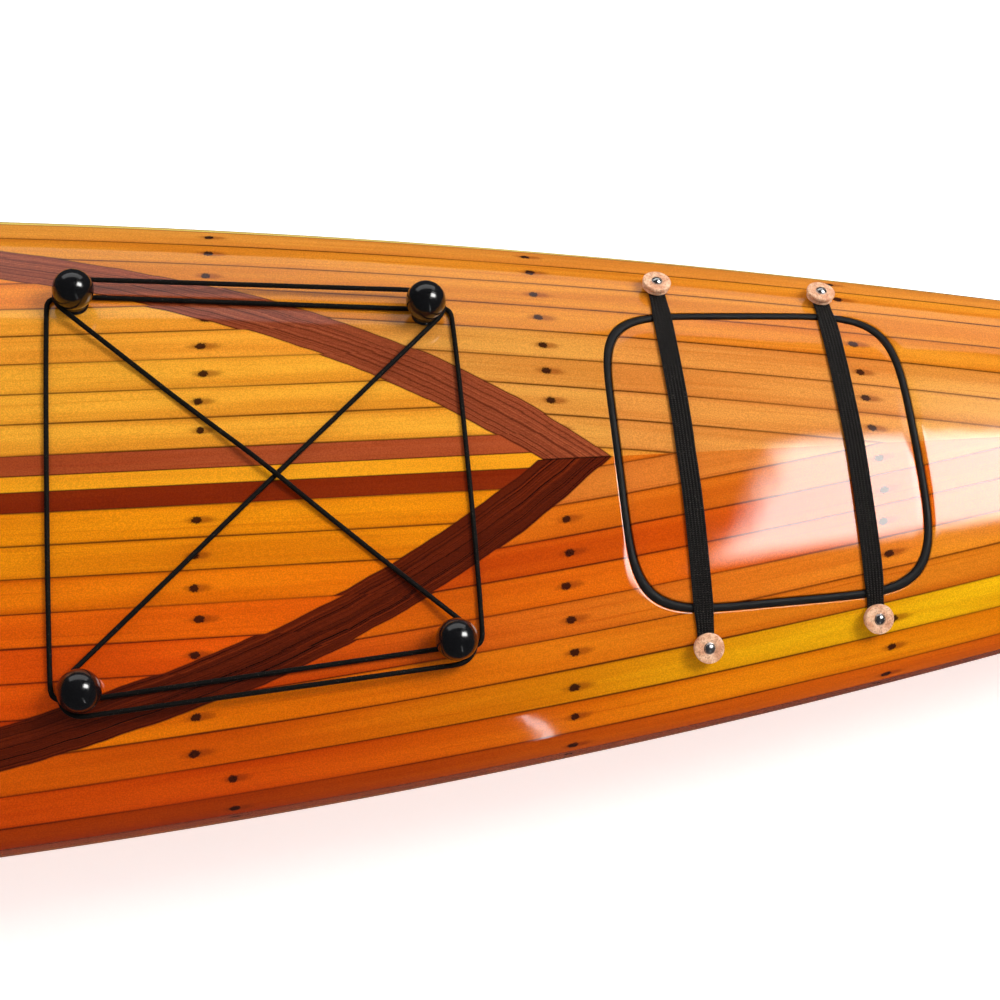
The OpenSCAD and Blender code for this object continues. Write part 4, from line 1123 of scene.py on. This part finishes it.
# ---- toggles
def toggle(end, name, body):
    hole = np.array([end * 2.352, 0, 0.318])
    bar_x = end * 2.278
    bar = np.array([bar_x, 0, float(deck_z(bar_x, 0.0)) + 0.010])
    along = (bar - hole) / np.linalg.norm(bar - hole)
    profile = [(0, -48)] + [(9 * math.sin(a), -39 - 9 * math.cos(a)) for a in np.linspace(0.15, 1.57, 9)]
    for groove in (-31, -27, 27, 31):
        profile += [(r, groove + at) for r, at in ((9, -1.4), (8.3, -0.7), (8.1, 0), (8.3, 0.7), (9, 1.4))]
    profile += [(9 * math.cos(a), 39 + 9 * math.sin(a)) for a in np.linspace(0, 1.42, 9)] + [(0, 48)]
    place = Matrix.Translation(Vector(bar)) @ Matrix.Rotation(math.radians(90), 4, "X")
    handle = many(f"{name}_turned_bar", [lathe(in_mm(profile), 48)], [place], sharp=45)
    settle(handle, body, MAT["toggle"], [f"{name}_bar"])
    length = np.linalg.norm(bar - hole)
    route, ends = [], []
    for side in (1, -1):
        leg = np.array([0, side * 0.0175, 0])
        points = [hole + leg + along * d for d in np.linspace(length + 0.011, 0.005, 40)]
        inward = np.array([0, side, 0])
        points += [hole + leg + 0.005 * ((1 - math.sin(a)) * along - (1 - math.cos(a)) * inward)
                   for a in np.linspace(0, math.pi / 2, 8)]
        ends.append(points[0])
        route += points if side > 0 else points[::-1]
    cord = braid(f"{name}_braided_cord", resample(soften(resample(route, 0.001), 4), 0.0010), 0.003)
    settle(cord, body, MAT["cord"], [f"{name}_cord"])
    round_part = [(4.3 * math.sin(a), -2.6 * math.cos(a)) for a in np.linspace(0.3, 2.84, 11)]
    knot = in_mm([(0, -2.2)] + round_part + [(0, 2.2)])
    aim = Vector((0, 0, 1)).rotation_difference(Vector(along)).to_matrix().to_4x4()
    places = [Matrix.Translation(Vector(p)) @ aim for p in ends]
    knots = many(f"{name}_knots", [lathe(knot, 24)], places, sharp=60)
    settle(knots, body, MAT["cord"])


toggle(1, "bow_toggle", "bow_toggle")
toggle(-1, "stern_toggle", "stern_toggle")

# ---- fittings kept from the CAD, with eased edges
def finished(node, body, material, width=0.0008):
    """The CAD solid with its edges eased and its faces shaded smooth."""
    mesh = NODES[node].data.copy()
    obj = bpy.data.objects.new(node + "_finished", mesh)
    SCENE.collection.objects.link(obj)
    bm = bmesh.new()
    bm.from_mesh(mesh)
    bmesh.ops.remove_doubles(bm, verts=bm.verts, dist=1e-5)
    bmesh.ops.dissolve_limit(bm, angle_limit=math.radians(1), verts=bm.verts, edges=bm.edges)
    bm.to_mesh(mesh)
    bm.free()
    if mesh.has_custom_normals:
        mesh.normals_split_custom_set([(0, 0, 0)] * len(mesh.loops))
    if width:
        bevel = obj.modifiers.new("ease", "BEVEL")
        bevel.width = width
        bevel.segments = 3
        bevel.limit_method = "ANGLE"
        bevel.angle_limit = math.radians(50)
        bevel.use_clamp_overlap = True
        bake(obj)
    fix_normals(obj)
    shade(obj)
    settle(obj, body, material, [node])


finished("keel_strip", "hull", MAT["walnut"], 0.0015)
for node in ("bow_bulkhead", "stern_bulkhead", "bow_hatch_rim", "stern_hatch_rim",
             "seat_bearers", "seat_pan"):
    finished(node, "hull", MAT["plywood"], 0.0 if "rim" in node else 0.0008)
finished("backrest_board", "backrest", MAT["plywood"], 0.0012)
finished("bow_hatch_stiffener", "bow_hatch", MAT["mahogany"])
finished("stern_hatch_stiffener", "stern_hatch", MAT["mahogany"])
for node in ("backrest_lugs", "backrest_pin", "knob_screws", "port_rail_studs", "starboard_rail_studs"):
    finished(node, "hull", MAT["steel"], 0.0004)
for side in ("port", "starboard"):
    finished(f"{side}_foot_rail", "hull", MAT["alloy"], 0.0006)
    finished(f"{side}_pedal", f"{side}_footrest", MAT["plastic"], 0.0016)
finished("bow_eyelet", "hull", MAT["brass"], 0.0003)
finished("stern_eyelet", "hull", MAT["brass"], 0.0003)

# ---- padded seat and backrest
def rounded_outline(u0, u1, v0, v1, r, steps=14):
    return np.array(rounded_box(u0, u1, v0, v1, r, steps))


def puff(obj, cap, up, hem=0.003, frames=20):
    """Remeshes a pad and blows it up as stitched cloth, no further than cap, with its hem held in place."""
    remesh = obj.modifiers.new("remesh", "REMESH")
    remesh.mode = "VOXEL"
    remesh.voxel_size = 0.005
    bake(obj)
    rest = np.array([v.co for v in obj.data.vertices])
    cloth = obj.modifiers.new("cloth", "CLOTH")
    cloth.settings.use_pressure = True
    cloth.settings.uniform_pressure_force = 4
    cloth.settings.effector_weights.gravity = 0
    cloth.point_cache.frame_start, cloth.point_cache.frame_end = 1, frames
    for f in range(1, frames + 1):
        SCENE.frame_set(f)
    bake(obj)
    SCENE.frame_set(1)
    now = np.array([v.co for v in obj.data.vertices])
    move = now - rest
    far = np.linalg.norm(move, axis=1, keepdims=True)
    move *= np.minimum(1, cap / np.maximum(far, 1e-9))
    for axis in {0, 1, 2} - {up}:
        move[:, axis] = np.clip(move[:, axis], -hem, hem)
    now = rest + move
    obj.data.vertices.foreach_set("co", now.astype(np.float32).ravel())
    obj.data.update()


def press(obj, box, channels, axis_across, axis_up, depth, half_width):
    """Keeps a pad inside its space, and presses its sewn channels in."""
    lo, hi = box
    co = np.array([v.co for v in obj.data.vertices])
    middle, half = (lo + hi) / 2, (hi - lo) / 2
    reach = np.abs(co - middle).max(0)
    co = middle + (co - middle) * np.minimum(1, half / np.maximum(reach, 1e-9))
    level = (co[:, axis_up] - middle[axis_up]) / half[axis_up]
    for line in channels:
        dip = np.exp(-(((co[:, axis_across] - line) / half_width) ** 2))
        co[:, axis_up] -= depth * dip * np.clip(level, 0, 1)
    obj.data.vertices.foreach_set("co", co.astype(np.float32).ravel())
    obj.data.update()


def subdivide(obj):
    sub = obj.modifiers.new("sub", "SUBSURF")
    sub.levels = sub.render_levels = 1
    bake(obj)
    shade(obj, 180)


PAD_Z = (0.0486, 0.0786)
outline = rounded_outline(-0.322, -0.063, -0.147, 0.147, 0.040)
cushion = loft("seat_cushion_cover", [
    np.column_stack([outline, np.full(len(outline), z)]) for z in (0.0530, 0.0740)])
puff(cushion, 0.024, 2)
press(cushion, (np.array([-0.330, -0.155, PAD_Z[0]]), np.array([-0.055, 0.155, PAD_Z[1]])),
      (-0.078, 0.0, 0.078), 1, 2, 0.0055, 0.0050)
subdivide(cushion)
settle(cushion, "hull", MAT["fabric"], ["seat_cushion"])

LEAN = Matrix.Translation((-0.378, 0, 0.096)) @ Matrix.Rotation(math.radians(-12), 4, "Y")
outline = rounded_outline(-0.133, 0.133, 0.020, 0.157, 0.030)
pad = loft("backrest_pad_cover", [
    np.column_stack([np.full(len(outline), x), outline]) for x in (0.0080, 0.0228)])
puff(pad, 0.022, 0)
press(pad, (np.array([0.0046, -0.140, 0.014]), np.array([0.0264, 0.140, 0.163])),
      (-0.070, 0.0, 0.070), 1, 0, 0.0045, 0.0045)
subdivide(pad)
pad.data.transform(LEAN)
settle(pad, "backrest", MAT["fabric"], ["backrest_pad"])


def piping(name, loop, place, body):
    """The welt sewn round the edge of a pad."""
    route = resample(loop, 0.0015, True)
    welt = braid(name, route, 0.0021, closed=True, sides=10, pitch=0.006)
    welt.data.transform(place)
    settle(welt, body, MAT["fabric"])


def edge_loop(obj, place, axis_up, middle):
    """Outermost line of a pad at a height, from its own points."""
    inverse = np.array(place.inverted())
    co = np.array([v.co for v in obj.data.vertices]) @ inverse[:3, :3].T + inverse[:3, 3]
    first, second = (k for k in range(3) if k != axis_up)
    level = co[np.abs(co[:, axis_up] - middle) < 0.004]
    centre = (level.max(0) + level.min(0)) / 2
    away = level - centre
    angle = np.arctan2(away[:, second], away[:, first])
    radius = np.linalg.norm(away[:, [first, second]], axis=1)
    loop = []
    for k in range(96):
        t = -math.pi + 2 * math.pi * (k + 0.5) / 96
        gap = np.abs(np.angle(np.exp(1j * (angle - t))))
        r = radius[gap < max(0.05, gap.min() + 1e-6)].max() - 0.0008
        p = np.zeros(3)
        p[first] = centre[first] + r * math.cos(t)
        p[second] = centre[second] + r * math.sin(t)
        p[axis_up] = middle
        loop.append(p)
    return soften(np.array(loop), 2, True)


piping("seat_cushion_welt", edge_loop(cushion, Matrix.Identity(4), 2, 0.062), Matrix.Identity(4), "hull")
piping("backrest_pad_welt", edge_loop(pad, LEAN, 0, 0.0145), LEAN, "backrest")

# ---- studio
WINDOW_Z = 2.6


def backdrop():
    """A pale floor that curves up into a backdrop all round."""
    steps = 96
    a = np.arange(steps) * 2 * np.pi / steps
    profile = [(0.01, 0.0), (2.0, 0.0), (5.0, 0.0), (9.0, 0.0)]
    profile += [(9.0 + 2.0 * math.sin(t), 2.0 - 2.0 * math.cos(t))
                for t in np.linspace(0.15, math.pi / 2, 12)]
    profile += [(11.0, 5.5)]
    rings = [np.stack([r * np.cos(a), r * np.sin(a), np.full(steps, z)], 1) for r, z in profile]
    faces = grid_faces(len(profile), steps, wrap_m=True) + [tuple(range(steps))]
    obj = new_object("studio_floor", np.concatenate(rings), faces)
    p = Paint("studio_paper")
    z = p.split(p.place())[2]
    mottle = p.fine(3.0, 2.0, 0.5)
    colour = p.mix(p.mul(mottle, 0.05), (0.82, 0.82, 0.82, 1), (0.78, 0.78, 0.78, 1))
    glow = p.step(z, 5.4, 0.5, 0.50, 0.62)
    p.finish(Base_Color=colour, Roughness=0.9, Specular_IOR_Level=0.0,
             Emission_Color=(1, 1, 1, 1), Emission_Strength=glow)
    obj.data.materials.append(p.material)
    obj.visible_glossy = False


def window_panel():
    """A lit window overhead, ahead of the bow hatch: sharp towards the stern, soft on the other sides."""
    xs, ys = np.linspace(1.7, 4.1, 13), np.linspace(-0.7, 1.9, 14)
    verts = [(x, y, WINDOW_Z) for x in xs for y in ys]
    obj = new_object("studio_window", verts, grid_faces(len(xs), len(ys)))
    p = Paint("window_light")
    x, y = p.split(p.place())[:2]
    lengthwise = p.mul(p.step(p.sub(x, p.mul(y, 0.2)), 1.79, 1.91), p.step(x, 4.0, 3.0))
    core = p.mul(lengthwise, p.mul(p.step(y, -0.20, 0.08), p.step(y, 0.93, 0.84)))
    halo_across = p.mul(p.step(y, -0.5, 0.5), p.step(y, 1.8, 0.7))
    halo = p.mul(p.mul(p.step(x, 2.0, 3.0), p.step(x, 4.1, 3.2)), halo_across)
    p.finish(Base_Color=(0.02, 0.02, 0.02, 1), Emission_Color=(1, 0.985, 0.96, 1),
             Emission_Strength=p.add(p.mul(core, 15.0), p.mul(halo, 3.5)))
    obj.data.materials.append(p.material)
    obj.visible_camera = obj.visible_shadow = False


def softbox(name, place, target, size, glow, mirrored=True):
    """An area light of a given brightness; a fill that isn't mirrored only adds soft light."""
    data = bpy.data.lights.new(name, "AREA")
    data.shape = "RECTANGLE"
    data.size, data.size_y = size
    data.energy = glow * math.pi * size[0] * size[1]
    obj = bpy.data.objects.new(name, data)
    SCENE.collection.objects.link(obj)
    obj.location = place
    obj.rotation_mode = "QUATERNION"
    obj.rotation_quaternion = (Vector(target) - Vector(place)).to_track_quat("-Z", "Y")
    obj.visible_glossy = mirrored
    obj.visible_camera = False


backdrop()
world = bpy.data.worlds.new("studio_air")
world.use_nodes = True
world.node_tree.nodes["Background"].inputs[0].default_value = (0.9, 0.93, 1.0, 1)
world.node_tree.nodes["Background"].inputs[1].default_value = 0.05
SCENE.world = world

window_panel()
softbox("streak_box", (1.80, -2.62, 1.3), (1.0, -0.2, 1.3), (0.03, 1.8), 10)
softbox("far_bank", (0.8, 3.8, 2.3), (0.8, 0.0, 0.3), (7.0, 2.4), 1.0)
softbox("top_fill", (0.4, 0.3, 3.4), (0.4, 0.0, 0.3), (6.5, 3.0), 0.85, mirrored=False)
